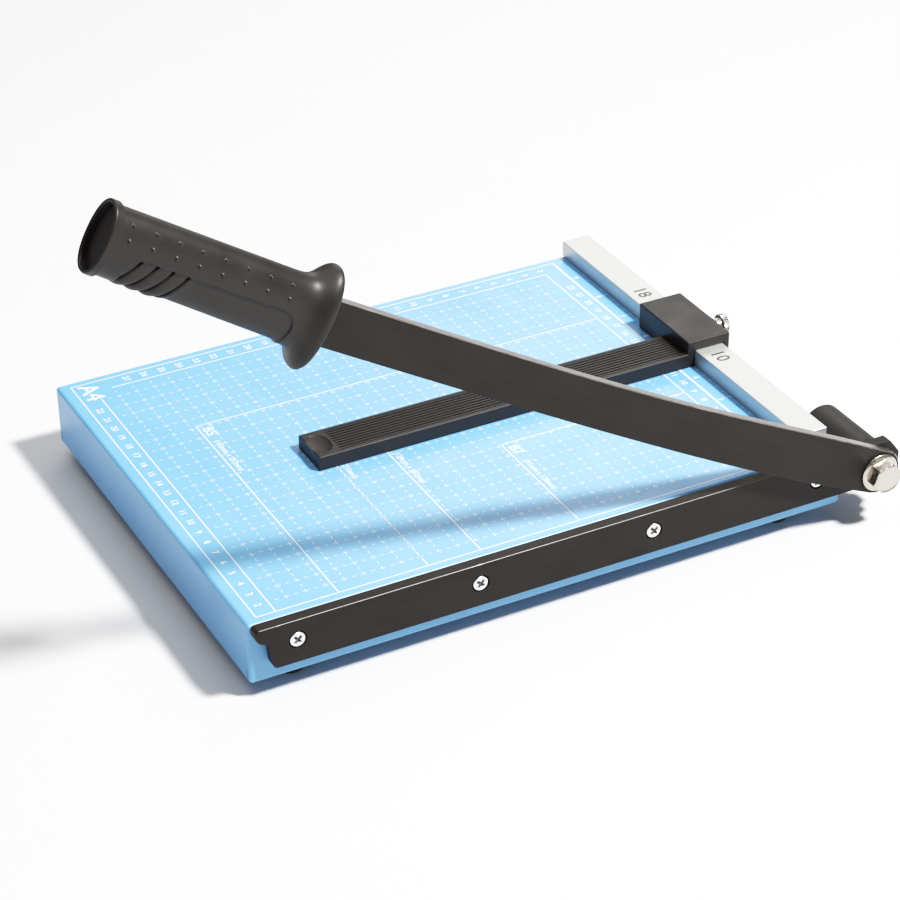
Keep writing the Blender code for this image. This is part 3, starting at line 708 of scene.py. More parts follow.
def cross_head(name, spot, turn, surfaces):
    """A countersunk head on polar rings: a shallow dome, less a cross whose two slots sink with
    smooth walls and taper to the middle, over a cone and a shank that end inside the hole. The
    cross's faces take a second surface, painted dark as the shade inside the recess."""
    rings = np.linspace(0, 1, 34)[:, None]
    angle = np.arange(SPOKES)[None] * 2 * math.pi / SPOKES
    reach = rings * (HEAD_RADIUS - HEAD_RIM)
    a, b = reach * np.cos(angle + turn), reach * np.sin(angle + turn)
    slot_a = 1 / (1 + np.exp((np.abs(b) - RECESS_HALF) / RECESS_WALL))
    slot_b = 1 / (1 + np.exp((np.abs(a) - RECESS_HALF) / RECESS_WALL))
    inside = 1 / (1 + np.exp((reach - RECESS_REACH) / (0.10 * MM)))
    sunk = RECESS_DEEP * np.maximum(slot_a, slot_b) * inside * (1 - 0.35 * reach / RECESS_REACH)
    dome = HEAD_RISE * (1 - rings ** 2) - 0.15 * MM
    face = np.stack([dome - sunk, reach * np.cos(angle), reach * np.sin(angle)], -1)
    under = fillet([(HEAD_RADIUS - HEAD_RIM, -0.15 * MM, 0), (HEAD_RADIUS, -0.4 * MM, 0.1 * MM),
                    (HEAD_RADIUS, -0.75 * MM, 0.1 * MM), (SHANK, -2.7 * MM, 0.3 * MM),
                    (SHANK, -12.2 * MM, 0), (0.8 * MM, -13 * MM, 0)], steps=3)[1:]
    radius, depth = under[:, 0][:, None], under[:, 1][:, None]
    body = np.stack(np.broadcast_arrays(depth, radius * np.cos(angle), radius * np.sin(angle)), -1)
    tags = np.zeros((len(rings) + len(under) - 1, SPOKES))
    # Faces deep in the cross take the second surface: painted shade in the recess.
    tags[:len(rings)] = sunk > RECESS_DEEP / 3
    return lofted(name, np.concatenate([face, body]) + spot, surfaces, tags, smooth=40)


zinc = zinc_plate()
# Painted shade for the cross recesses: a dark surface that stands for the shadow inside them.
painted_shade = Finish("recess_grime", Roughness=0.6)
painted_shade.cover(painted_shade.blend(painted_shade.grain(0.3 * MM), (0.05, 0.045, 0.04, 1), (0.10, 0.095, 0.09, 1)))
for number, (screw, spot, turn) in enumerate(zip(screw_names, screw_spots, DRIVEN_TO), 1):
    head = cross_head(f"cross_head_{number}", spot, math.radians(turn), [zinc, painted_shade.material])
    fitted(head, "base", "bright_steel", screw)


# ------------------------------------------------------------------ pivot
# A nickel-plated hexagon flange bolt runs through the arm's bush, the ear of the lower blade
# and the spring housing, a black moulded sleeve. A lock nut sunk in its far end draws the
# spring up, which keeps the two blades pressed together.

HEX_FLAT = 7.45 * MM
HEX_TOP = 8.7 * MM
HEX_TURN = 0.3
FLANGE_HIGH = 2.2 * MM
FLANGE_RADIUS = 10.35 * MM
FLANGE_SEAT = 0.3 * MM
BOLT_SHANK = 5 * MM
SLEEVE_WALL = 1.5 * MM
SLEEVE_FLOOR = 2.5 * MM
NUT_FLAT = 7.9 * MM
NUT_SEAT = 0.3 * MM
ROUND_STEPS = 144
round_angle = np.arange(ROUND_STEPS) * 2 * math.pi / ROUND_STEPS
housing_low, housing_high = corners("spring_housing")
bolt_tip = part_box("pivot_bolt")[0].x
nut_low, nut_high = corners("pivot_nut")


def moulded_black(name, rough, size=0.35, depth=0.012):
    """Black moulded plastic with a fine sparked texture, its gloss a little uneven."""
    plastic = Finish(name, IOR=1.32)
    handled = plastic.grain(14 * MM, detail=3)
    colour = plastic.blend(handled, (0.0085, 0.0072, 0.0062, 1), (0.0135, 0.0115, 0.0100, 1))
    shine = plastic.ramp(handled, 0.3, 0.7, rough - 0.05, rough + 0.07)
    skin = plastic.grain(size * MM, detail=2)
    return plastic.cover(colour, shine, normal=plastic.bump(skin, depth * MM))


def nickel_plate():
    """Warm white nickel plating with a soft gloss."""
    nickel = Finish("nickel_plate", IOR=1.5)
    cloud = nickel.grain(2.5 * MM, detail=4)
    colour = nickel.blend(cloud, (0.40, 0.365, 0.31, 1), (0.52, 0.48, 0.42, 1))
    return nickel.cover(colour, nickel.ramp(cloud, 0.3, 0.7, 0.18, 0.34), 1.0,
                        nickel.bump(nickel.grain(0.4 * MM), 0.0012 * MM))


def hexagon(angle, flat):
    """Radius of a hexagon at an angle: the flat's distance over the cosine of the angle from
    the middle of the nearest flat."""
    sixth = math.pi / 3
    return flat / np.cos((angle + sixth / 2) % sixth - sixth / 2)


def pivot_rings(name, radii, heights, surface):
    """Rings round the pivot's axis at heights along X, with a radius for each angle."""
    radii, heights = np.array(radii), np.array(heights)[:, None]
    grid = np.stack(np.broadcast_arrays(heights, pivot[1] + radii * np.cos(round_angle),
                                        pivot[2] + radii * np.sin(round_angle)), -1)
    return lofted(name, grid, [surface], smooth=24)


def hex_bolt(name, face_x, surface):
    """Flange, hexagon and shank as rings along X. On the hexagon a ring's radius is the smaller
    of the hexagon's and a cone's, which chamfers the corners of its top."""
    top = face_x + HEX_TOP
    cones = [(0.4 * MM, top - 0.25 * MM), (HEX_FLAT - 1.1 * MM, top - 0.25 * MM),
             (HEX_FLAT - 0.6 * MM, top),
             (HEX_FLAT - 0.35 * MM, top - 0.03 * MM), (HEX_FLAT + 0.3 * MM, top - 0.35 * MM),
             (HEX_FLAT + 1.4 * MM, top - 0.95 * MM), (HEX_FLAT + 1.4 * MM, face_x + FLANGE_HIGH)]
    outer = hexagon(round_angle + HEX_TURN, HEX_FLAT)
    hexed = [np.minimum(outer, radius) for radius, _ in cones]
    flange = fillet([(8.8 * MM, face_x + FLANGE_HIGH - 0.1 * MM, 0),
                     (9.6 * MM, face_x + 1.7 * MM, 0.6 * MM),
                     (FLANGE_RADIUS, face_x + 1.2 * MM, 0.5 * MM),
                     (FLANGE_RADIUS, face_x + FLANGE_SEAT, 0.3 * MM),
                     (BOLT_SHANK, face_x + FLANGE_SEAT, 0), (BOLT_SHANK, bolt_tip + MM, 0),
                     (BOLT_SHANK - MM, bolt_tip, 0)], steps=4)
    return pivot_rings(name, hexed + [np.full(ROUND_STEPS, radius) for radius, _ in flange],
                       [x for _, x in cones] + [x for _, x in flange], surface)


arm_low, arm_high = corners("swinging_arm")
nickel = nickel_plate()
bolt = hex_bolt("hex_flange_bolt", arm_high[0], nickel)
fitted(evenly_shaded(bolt), "base", "bright_steel", "pivot_bolt")

sleeve_radius = (housing_high[1] - housing_low[1]) / 2
sleeve_near, sleeve_far = housing_high[0], housing_low[0]
sleeve_bore = sleeve_radius - SLEEVE_WALL
floor_far, floor_near = nut_high[0] + NUT_SEAT, nut_high[0] + NUT_SEAT + SLEEVE_FLOOR
sleeve_profile = fillet([
    (sleeve_radius, sleeve_near, 0), (sleeve_radius, sleeve_far, MM),
    (sleeve_bore, sleeve_far, 0.4 * MM), (sleeve_bore, floor_far, 0.5 * MM),
    (PIVOT_HOLE, floor_far, 0), (PIVOT_HOLE, floor_near, 0), (sleeve_bore, floor_near, 0.5 * MM),
    (sleeve_bore, sleeve_near, 0), (sleeve_radius, sleeve_near, 0)], steps=6)
sleeve = turned("spring_sleeve", sleeve_profile, (0, pivot[1], pivot[2]), "X",
                [moulded_black("sleeve_plastic", 0.50)], columns=96)
fitted(sleeve, "base", "black_plastic", "spring_housing")


def lock_nut(name, surface):
    """A hexagon nut along X: chamfered at both ends like the bolt's head, and closed through
    its bore."""
    low, high = nut_low[0], nut_high[0]
    ends = [(PIVOT_HOLE, low), (NUT_FLAT - 0.5 * MM, low), (NUT_FLAT + 1.3 * MM, low + 0.9 * MM),
            (NUT_FLAT + 1.3 * MM, high - 0.9 * MM), (NUT_FLAT - 0.5 * MM, high),
            (PIVOT_HOLE, high), (PIVOT_HOLE, low)]
    outer = hexagon(round_angle, NUT_FLAT)
    return pivot_rings(name, [np.minimum(outer, radius) for radius, _ in ends],
                       [x for _, x in ends], surface)


nut = lock_nut("pivot_lock_nut", zinc)
fitted(evenly_shaded(nut), "base", "bright_steel", "pivot_nut")


# ------------------------------------------------------------------ swinging arm
# The upper blade: a 6 mm steel plate, blackened, that swings on a bush in its round boss. Its
# spine is ground bright, with a small bevel on the outer side, and so is its cutting edge.

ARM_RAISED = math.radians(31)
ARM_BOSS = 12.2 * MM
BOSS_GROUND_FROM = math.radians(25)
ARM_END_U = 350.5 * MM
TANG_END_U = 436 * MM
TANG_V = (-18 * MM, -4 * MM)
SPINE_BEVEL = 0.4 * MM
ARM_BREAK = 0.3 * MM
BUSH_HOLE = 7.8 * MM
arm_turn = (-ARM_RAISED, 0, 0)


def raised(x, u, v):
    """Points on the raised arm: u runs out along it from the pivot and v is up across it."""
    y = pivot[1] - u * math.cos(ARM_RAISED) + v * math.sin(ARM_RAISED)
    z = pivot[2] + u * math.sin(ARM_RAISED) + v * math.cos(ARM_RAISED)
    return np.stack(np.broadcast_arrays(x, y, z), -1)


def spine_v(u):
    """Height of the spine: it falls off behind the pivot by an exponential, then runs level."""
    return -1.4 * MM + 12.4 * MM * np.exp(-((u / (118 * MM)) ** 1.5))


def edge_v(u):
    """Height of the cutting edge: a shallow bow that levels out towards the grip."""
    return -24.2 * MM + 12 * MM * np.exp(-u / (85 * MM))


def arm_outline():
    """The plate in (-u, v), counter-clockwise: along the edge to the boss, round the boss, out
    along the spine and round the tang. Also says where the spine and the edge lie."""
    out = np.linspace(14 * MM, ARM_END_U, 60)
    edge = np.stack([-out, edge_v(out)], -1)[::-1]
    sweep = np.radians(np.linspace(-88, 75, 40))
    boss = ARM_BOSS * np.stack([np.cos(sweep), np.sin(sweep)], -1)
    spine = np.stack([-out, spine_v(out)], -1)
    tang = np.array([(-ARM_END_U, TANG_V[1]), (-TANG_END_U, TANG_V[1]), (-TANG_END_U, TANG_V[0]),
                     (-ARM_END_U, TANG_V[0])])
    parts = [edge, boss, spine, tang]
    kind = np.repeat(np.arange(4), [len(part) for part in parts])
    kind[len(edge):len(edge) + len(boss)][sweep > BOSS_GROUND_FROM] = 2
    return np.concatenate(parts), kind


arm_line, arm_kind = arm_outline()
on_edge, on_spine = arm_kind == 0, arm_kind == 2
outer_breaks = np.where(on_spine[:, None], SPINE_BEVEL, (ARM_BREAK, ARM_BREAK))
arm_grid = slab_grid(arm_line, arm_low[0], arm_high[0], (ARM_BREAK, ARM_BREAK), outer_breaks)
spine_faces = on_spine & np.roll(on_spine, -1)
ground = spine_faces | (on_edge & np.roll(on_edge, -1))
arm_tags = np.stack([ground * 0, ground * 1, spine_faces * 1])
arm_plate = lofted("upper_blade", raised(arm_grid[..., 0], -arm_grid[..., 1], arm_grid[..., 2]),
                   [blackened_steel(arm_turn), ground_steel("ground_spine", 0.0, arm_turn)],
                   arm_tags)
combine(arm_plate, "DIFFERENCE",
        turned("bush_hole", [(BUSH_HOLE, -CUTTER_HALF), (BUSH_HOLE, CUTTER_HALF)], pivot, "X"))
shade(arm_plate.data, 28)
fitted(evenly_shaded(arm_plate), "arm", "black_steel", "swinging_arm")


def bronze():
    """Sintered bronze, oiled and slightly porous."""
    bush = Finish("bush_bronze", IOR=1.5)
    pore = bush.ramp(bush.grain(0.3 * MM), 0.6, 0.7)
    colour = bush.blend(pore, (0.50, 0.31, 0.13, 1), (0.16, 0.09, 0.04, 1))
    return bush.cover(colour, 0.36, 1.0, bush.bump(pore, -0.01 * MM))


frame["nodes"]["arm_bush"].material_slots[0].material = bronze()


# ------------------------------------------------------------------ grip
# One hollow moulding in black plastic, pushed over the arm's tang. It has a flared guard, two
# rows of raised pips along each shoulder, a sunk panel below them with four finger grooves, and
# a belled open end that a plug closes.

GRIP_START_U = 348 * MM
GRIP_END_U = 463 * MM
GRIP_LONG = GRIP_END_U - GRIP_START_U
GRIP_OVAL = 2.25
GRIP_HALF_WIDE = 10.4 * MM
GRIP_HALF_HIGH = 16.7 * MM
GRIP_CENTRE_V = -12.4 * MM
GUARD_WIDE = 4 * MM
GUARD_HIGH = 4.15 * MM
GRIP_COLUMNS = 236
SLOT_OVAL = 14
SLOT_HALF_WIDE = 3.4 * MM
SLOT_PLAY = 0.4 * MM
RIM_ROUND = 1.3 * MM
BELL_WALL = 1.8 * MM
BELL_DEEP = 6 * MM
PIP_COUNT = 8
PIP_FIRST_U = 370.8 * MM
PIP_PITCH = 11.75 * MM
PIP_RADIUS = 1.0 * MM
PIP_HIGH = 0.85 * MM
PIP_MOAT = 0.08 * MM
PIP_ROWS_V = ((0.1 * MM, 3.1 * MM), (-5.6 * MM, -3.1 * MM))
PANEL_U = (363.4 * MM, 449.5 * MM)
PANEL_TOP_V = (-10.8 * MM, -9.0 * MM)
PANEL_DEEP = 0.9 * MM
PANEL_EDGE = 0.4 * MM
GROOVE_DEEP = 1.0 * MM
LIP_LONG = 4 * MM
LIP_RISE = 0.8 * MM
GROOVES = 4
GROOVE_FIRST_U = 420 * MM
GROOVE_PITCH = 7.8 * MM
GROOVE_WIDE = 0.45 * MM
grip_mid_x = (arm_low[0] + arm_high[0]) / 2


def step(value, low, high):
    """A smooth rise from 0 to 1 as the value goes from low to high."""
    share = np.clip((value - low) / (high - low), 0, 1)
    return share * share * (3 - 2 * share)


def grip_section(t):
    """Half width, half height and centre height of the grip: a slow taper, widened by bell
    curves at the guard (t = 0), a tighter one below, and by a step to a lip ring at t = 1."""
    guard = np.exp(-(t / 0.062) ** 2)
    under_guard = np.exp(-(t / 0.045) ** 2)
    from_end = (1 - t) * GRIP_LONG
    lip = 1 - step(from_end, LIP_LONG, LIP_LONG + LIP_RISE)
    half_wide = GRIP_HALF_WIDE - 0.6 * MM * t + GUARD_WIDE * guard + 0.8 * MM * lip
    half_high = (GRIP_HALF_HIGH - 1.2 * MM * t + GUARD_HIGH * (guard + under_guard)
                 + 1.2 * MM * lip)
    centre = GRIP_CENTRE_V + 4.9 * MM * t + GUARD_HIGH * (guard - under_guard)
    return half_wide, half_high, centre


def oval(angle, half_wide, half_high, power=GRIP_OVAL):
    """Points (x, v) of a superellipse and its outward directions: the cosine and sine keep
    their signs and are raised to 2 / power."""
    c, s = np.cos(angle), np.sin(angle)
    x = half_wide * np.sign(c) * np.abs(c) ** (2 / power)
    v = half_high * np.sign(s) * np.abs(s) ** (2 / power)
    slope_x = np.sign(c) * np.abs(c) ** (2 - 2 / power) / half_wide
    slope_v = np.sign(s) * np.abs(s) ** (2 - 2 / power) / half_high
    size = np.hypot(slope_x, slope_v)
    return x, v, slope_x / size, slope_v / size


def even_angles(count):
    """Angles that space points evenly round the grip's middle section, by inverting the length
    travelled round it."""
    fine = np.linspace(0, 2 * math.pi, 4001)
    x, v, _, _ = oval(fine, 10.0, 16.2)
    travelled = np.concatenate([[0], np.cumsum(np.hypot(np.diff(x), np.diff(v)))])
    return np.interp(np.arange(count) / count * travelled[-1], travelled, fine)


def grip_relief(u, x, v):
    """How far the moulding stands proud: pips are domes, the panel is a rounded rectangle sunk
    with soft edges, and in it each groove is a notch that slants back as it goes down, with a
    swelling between one groove and the next."""
    reach = (PANEL_U[1] - PANEL_U[0]) / 2
    tall, corner = 40 * MM, 8 * MM
    top = np.interp(u, PANEL_U, PANEL_TOP_V)
    across_u = np.abs(u - sum(PANEL_U) / 2) - reach + corner
    across_v = np.abs(v - top + tall) - tall + corner
    outside = np.hypot(np.maximum(across_u, 0), np.maximum(across_v, 0))
    border = outside + np.minimum(np.maximum(across_u, across_v), 0) - corner
    panel = step(-border, 0, PANEL_EDGE)
    down = np.maximum(top - v, 0) / MM
    slanted = u - (0.30 * down + 0.016 * down ** 2) * MM - GROOVE_FIRST_U
    nearest = np.clip(np.round(slanted / GROOVE_PITCH), 0, GROOVES - 1)
    off = slanted - nearest * GROOVE_PITCH
    groove = np.exp(-(off / GROOVE_WIDE) ** 2)
    ribs = step(slanted, -GROOVE_PITCH * 0.6, 0) * np.abs(
        np.sin(np.pi * slanted / GROOVE_PITCH)) ** 0.7
    swell = 0.35 * MM + 1.1 * MM * step(down, 5, 14)
    relief = panel * (-PANEL_DEEP - GROOVE_DEEP * groove + swell * ribs)
    for guard_v, end_v in PIP_ROWS_V:
        for number in range(PIP_COUNT):
            pip_u = PIP_FIRST_U + number * PIP_PITCH
            pip_v = guard_v + (end_v - guard_v) * number / (PIP_COUNT - 1)
            half_wide, half_high, centre = grip_section((pip_u - GRIP_START_U) / GRIP_LONG)
            rise = np.abs((pip_v - centre) / half_high)
            pip_x = half_wide * (1 - rise ** GRIP_OVAL) ** (1 / GRIP_OVAL)
            away = np.sqrt((u - pip_u) ** 2 + (np.abs(x) - pip_x) ** 2
                           + (v - pip_v) ** 2) / PIP_RADIUS
            dome = np.sqrt(np.clip(1 - away ** 2, 0, 1))
            relief = relief + PIP_HIGH * dome - PIP_MOAT * np.exp(-((away - 1.35) / 0.25) ** 2)
    return relief


def grip_grid():
    """Rows from the bottom of the tang slot out over the guard, along the body, round the
    belled rim and down to the floor of the hollow."""
    angle = even_angles(GRIP_COLUMNS)
    rows = []

    def add(u, x, v):
        row = np.stack(np.broadcast_arrays(grip_mid_x + x, u, v), -1)
        rows.append(row.reshape(-1, GRIP_COLUMNS, 3))

    pocket_v = (float(edge_v(ARM_END_U)), float(spine_v(ARM_END_U)))
    pocket_middle, pocket_half = sum(pocket_v) / 2, (pocket_v[1] - pocket_v[0]) / 2 + SLOT_PLAY
    slot_middle, slot_half = sum(TANG_V) / 2, (TANG_V[1] - TANG_V[0]) / 2 + SLOT_PLAY
    for u, middle, half in ((TANG_END_U + 2 * MM, slot_middle, slot_half),
                            (ARM_END_U + 0.6 * MM, slot_middle, slot_half),
                            (ARM_END_U + 0.6 * MM, pocket_middle, pocket_half),
                            (GRIP_START_U, pocket_middle, pocket_half)):
        x, v, _, _ = oval(angle, SLOT_HALF_WIDE, half, SLOT_OVAL)
        add(u, x, v + middle)
    wide, high, centre = grip_section(0.0)
    inner_x, inner_v, _, _ = oval(angle, SLOT_HALF_WIDE, pocket_half, SLOT_OVAL)
    outer_x, outer_v, _, _ = oval(angle, wide - RIM_ROUND, high - RIM_ROUND)
    for share in (0.35, 0.7):
        add(GRIP_START_U, inner_x + (outer_x - inner_x) * share,
            inner_v + pocket_middle + (outer_v + centre - inner_v - pocket_middle) * share)
    for bend in np.linspace(0, math.pi / 2, 6)[:-1]:
        inset = RIM_ROUND * (1 - math.sin(bend))
        x, v, _, _ = oval(angle, wide - inset, high - inset)
        add(GRIP_START_U + RIM_ROUND * (1 - math.cos(bend)), x, v + centre)
    body_u = np.concatenate([
        np.linspace(GRIP_START_U + RIM_ROUND, GRIP_END_U - 6 * MM, 330),
        np.linspace(GRIP_END_U - 5.8 * MM, GRIP_END_U - BELL_WALL / 2, 36)])[:, None]
    t = (body_u - GRIP_START_U - RIM_ROUND) / (GRIP_LONG - RIM_ROUND)
    half_wide, half_high, middle = grip_section(t)
    x, v, out_x, out_v = oval(angle[None], half_wide, half_high)
    relief = grip_relief(body_u, x, v + middle)
    add(body_u, x + out_x * relief, v + middle + out_v * relief)
    wide, high, centre = grip_section(1.0)
    tail = []
    for bend in np.linspace(0, math.pi, 9)[1:]:
        inset = BELL_WALL / 2 * (1 - math.cos(bend))
        tail.append((GRIP_END_U - BELL_WALL / 2 * (1 - math.sin(bend)), inset))
    tail += [(GRIP_END_U - BELL_DEEP + 0.5 * MM, BELL_WALL),
             (GRIP_END_U - BELL_DEEP, BELL_WALL + 0.5 * MM)]
    for u, inset in tail:
        x, v, _, _ = oval(angle, wide - inset, high - inset)
        add(u, x, v + centre)
    return raised(*np.moveaxis(np.concatenate(rows), -1, 0))


grip_surface = moulded_black("grip_plastic", 0.40, 0.45, 0.02)
grip = lofted("moulded_grip", grip_grid(), [grip_surface], smooth=50)
fitted(grip, "arm", "black_plastic", "grip")


def plug_grid():
    """The plug's rows: a flat back, a straight edge and a shallow dome that shrinks evenly to
    its middle."""
    angle = even_angles(96)
    wide, high, centre = grip_section(1.0)
    margin = BELL_WALL + 0.4 * MM
    back = GRIP_END_U - BELL_DEEP + 0.3 * MM
    front = back + 3 * MM
    profile = [(back, 1.0, 0.3 * MM), (back + 0.3 * MM, 1.0, 0), (front - 0.6 * MM, 1.0, 0),
               (front - 0.2 * MM, 1.0, 0.25 * MM), (front, 0.93, 0), (front + 0.1 * MM, 0.7, 0),
               (front + 0.2 * MM, 0.35, 0), (front + 0.25 * MM, 0.08, 0)]
    rows = []
    for u, size, inset in profile:
        x, v, _, _ = oval(angle, (wide - margin) * size - inset, (high - margin) * size - inset)
        rows.append(raised(grip_mid_x + x, u, v + centre))
    return np.stack(rows)


plug = lofted("grip_end_plug", plug_grid(), [grip_surface])
fitted(plug, "arm", "black_plastic", "grip_plug")


# ------------------------------------------------------------------ fence rail
# A flat bar of satin-anodised aluminium, screwed on from under the bed. Its front face is the
# zero of the rulers, and centimetre numbers are printed on top near the gauge.

RAIL_BREAK = 0.5 * MM
RAIL_NUMBERS = (10, 14, 18)
RAIL_NUMBER_HIGH = 8 * MM
BREAK = 0.3 * MM
rail_low, rail_high = corners("fence_rail")


def anodised():
    """Satin anodised aluminium, drawn along X, with a faint unevenness."""
    metal = Finish("anodised_aluminium", IOR=1.5)
    drawn = metal.grain(0.35 * MM, (60, 1, 1), detail=3)
    cloud = metal.grain(20 * MM, (3, 1, 1), detail=3)
    colour = metal.blend(drawn * 0.6 + cloud * 0.4, (0.42, 0.42, 0.40, 1), (0.50, 0.50, 0.48, 1))
    return metal.cover(colour, metal.ramp(drawn, 0.3, 0.7, 0.36, 0.48), 0.6,
                       metal.bump(drawn, 0.004 * MM))


def rail_grid():
    """The rail's cross-section, with broken edges, at four stations whose ends are broken too."""
    y0, y1, z0, z1 = rail_low[1], rail_high[1], rail_low[2], rail_high[2]
    section = fillet([(y0, z0, BREAK), (y1, z0, BREAK), (y1, z1, RAIL_BREAK),
                      (y0, z1, RAIL_BREAK)], steps=3, closed=True)
    return slab_grid(section, rail_low[0], rail_high[0], (BREAK, BREAK), (BREAK, BREAK))


rail = lofted("fence", rail_grid(), [anodised()])
fitted(evenly_shaded(rail), "base", "aluminium", "fence_rail")
dark_ink = Finish("dark_print", IOR=1.5)
dark_patch = dark_ink.ramp(dark_ink.grain(0.6 * MM, detail=3), 0.62, 0.7)
dark_ink.cover(dark_ink.blend(dark_patch * 0.5, (0.035, 0.033, 0.03, 1), (0.3, 0.3, 0.29, 1)), 0.5)
rail_words = [(str(number), RAIL_NUMBER_HIGH, zero_x - number * CENTIMETRE,
               (rail_low[1] + rail_high[1]) / 2) for number in RAIL_NUMBERS]
rail_numbers = lettering("fence_numbers", rail_words, rail_high[2] + INK / 3,
                         rail_high[2] + INK * 4 / 3, dark_ink.material, 0.02)
fitted(rail_numbers, "base", "aluminium")


# ------------------------------------------------------------------ sliding gauge
# A black moulding that squares the sheet and sets its width: a head that straddles the rail
# and a bar that runs out over the bed, with fine ribs between two plain borders and a scoop
# for the thumb at its end.

RIBS = 9
RIB_HIGH = 1.0 * MM
BORDER_WIDE = 2.2 * MM
SCOOP_HALF = 9 * MM
SCOOP_MIDDLE = 5.4 * MM
SCOOP_REACH = 6.2 * MM
SCOOP_DEEP = 1.6 * MM
RIBS_START = 12.6 * MM
POINTS_PER_RIB = 16
END_ROUND = 0.8 * MM
HEAD_ROUND = 0.8 * MM
HEAD_DEEP = 25.8 * MM
HEAD_PLAY = 0.3 * MM
BAR_WIDE = 25 * MM
BAR_TALL = 7.8 * MM
THUMB_BORE = 2.9 * MM
gauge_low, gauge_high = corners("gauge")
bar_left, bar_right = gauge_high[0] - BAR_WIDE, gauge_high[0]
bar_top = gauge_low[2] + BAR_TALL
head_front = gauge_high[1] - HEAD_DEEP


def gauge_bar():
    """The bar as rows along Y. Across the top each rib is one wave of a flattened cosine. Near
    the end the ribs stop, and the top is scooped by the lower half of a flat ellipsoid."""
    top_x = np.linspace(bar_left + 0.7 * MM, bar_right - 0.7 * MM, RIBS * POINTS_PER_RIB + 1)
    pitch = (BAR_WIDE - 2 * BORDER_WIDE) / RIBS
    phase = np.clip((top_x - bar_left - BORDER_WIDE) / pitch, 0, RIBS)
    wave = step(np.cos(2 * math.pi * (phase - 0.5)), -0.2, 0.2)
    on_ribs = (phase > 0) & (phase < RIBS)
    sunk = np.where(on_ribs, RIB_HIGH * (1 - wave), 0)
    near, far = gauge_low[1], head_front + 1.2 * MM
    y = np.concatenate([near + np.array([0, 0.15, 0.4, 0.8]) * MM,
                        np.linspace(near + 1.2 * MM, near + 18 * MM, 48),
                        np.linspace(near + 20 * MM, far, 24)])[:, None]
    end_round = np.maximum(END_ROUND - (y - near), 0) ** 2 / (2 * END_ROUND)
    across_x = (top_x - (bar_left + bar_right) / 2) / SCOOP_HALF
    along_y = (y - near - SCOOP_MIDDLE) / SCOOP_REACH
    bowl = np.sqrt(np.clip(1 - across_x ** 2 - along_y ** 2, 0, 1))
    ribbing = step(y - near, RIBS_START, RIBS_START + MM)
    top = bar_top - end_round - sunk * ribbing - SCOOP_DEEP * bowl
    foot = gauge_low[2]
    edge = fillet([(bar_right - 1.5 * MM, bar_top, 0), (bar_right, bar_top, 0.7 * MM),
                   (bar_right, foot, 0.3 * MM), (bar_left, foot, 0.3 * MM),
                   (bar_left, bar_top, 0.7 * MM), (bar_left + 1.5 * MM, bar_top, 0)], steps=3)
    edge = edge[2:-2]  # the top's own rows replace the ends of this line
    upper = np.stack(np.broadcast_arrays(top_x[None], y, top), -1)
    lower_z = np.broadcast_to(edge[:, 1], (len(y), len(edge)))
    lower_z = np.where(lower_z > foot + 2 * MM, lower_z - end_round, lower_z)
    lower = np.stack(np.broadcast_arrays(edge[:, 0][None], y, lower_z), -1)
    return lofted("gauge_bar_piece", np.concatenate([upper, lower], 1), smooth=50)


def gauge_head():
    """The head: its channel section carried along X, every outside edge rounded."""
    top, foot = gauge_high[2], gauge_low[2]
    front, back = head_front, gauge_high[1]
    roof = rail_high[2] + HEAD_PLAY
    inner, outer = rail_low[1] - HEAD_PLAY, rail_high[1] + HEAD_PLAY
    section = np.array([(front, foot), (inner, foot), (inner, roof), (outer, roof),
                        (outer, foot), (back, foot), (back, top), (front, top)])
    head = lofted("gauge_moulding",
                  slab_grid(section, gauge_low[0], gauge_high[0], (0, 0), (0, 0))[1:3])
    rounding = head.modifiers.new("round", "BEVEL")
    rounding.width = HEAD_ROUND
    rounding.segments = 4
    rounding.limit_method = "ANGLE"
    return settle(head)


head = gauge_head()
combine(head, "UNION", gauge_bar())
thumb_low, thumb_high = corners("thumb_screw")
thumb_axis = np.array(((thumb_low[0] + thumb_high[0]) / 2, 0, (thumb_low[2] + thumb_high[2]) / 2))
combine(head, "DIFFERENCE",
        turned("bore", [(THUMB_BORE, rail_high[1] - MM), (THUMB_BORE, gauge_high[1] + 3 * MM)],
               thumb_axis, "Y"))
head.data.materials.clear()
head.data.materials.append(moulded_black("gauge_plastic", 0.44, 0.3, 0.006))
shade(head.data, 40)
fitted(evenly_shaded(head), "gauge", "black_plastic", "gauge")


# ------------------------------------------------------------------ thumb screw
# A knurled brass screw, nickel plated, with a black collar under its head. Its tip presses on
# the rail's back and locks the gauge.

KNURLS = 36
KNURL_DEEP = 0.28 * MM
KNURL_LONG = 3.8 * MM
NECK = 4 * MM
NECK_END = 7.3 * MM
THREAD = 2.5 * MM


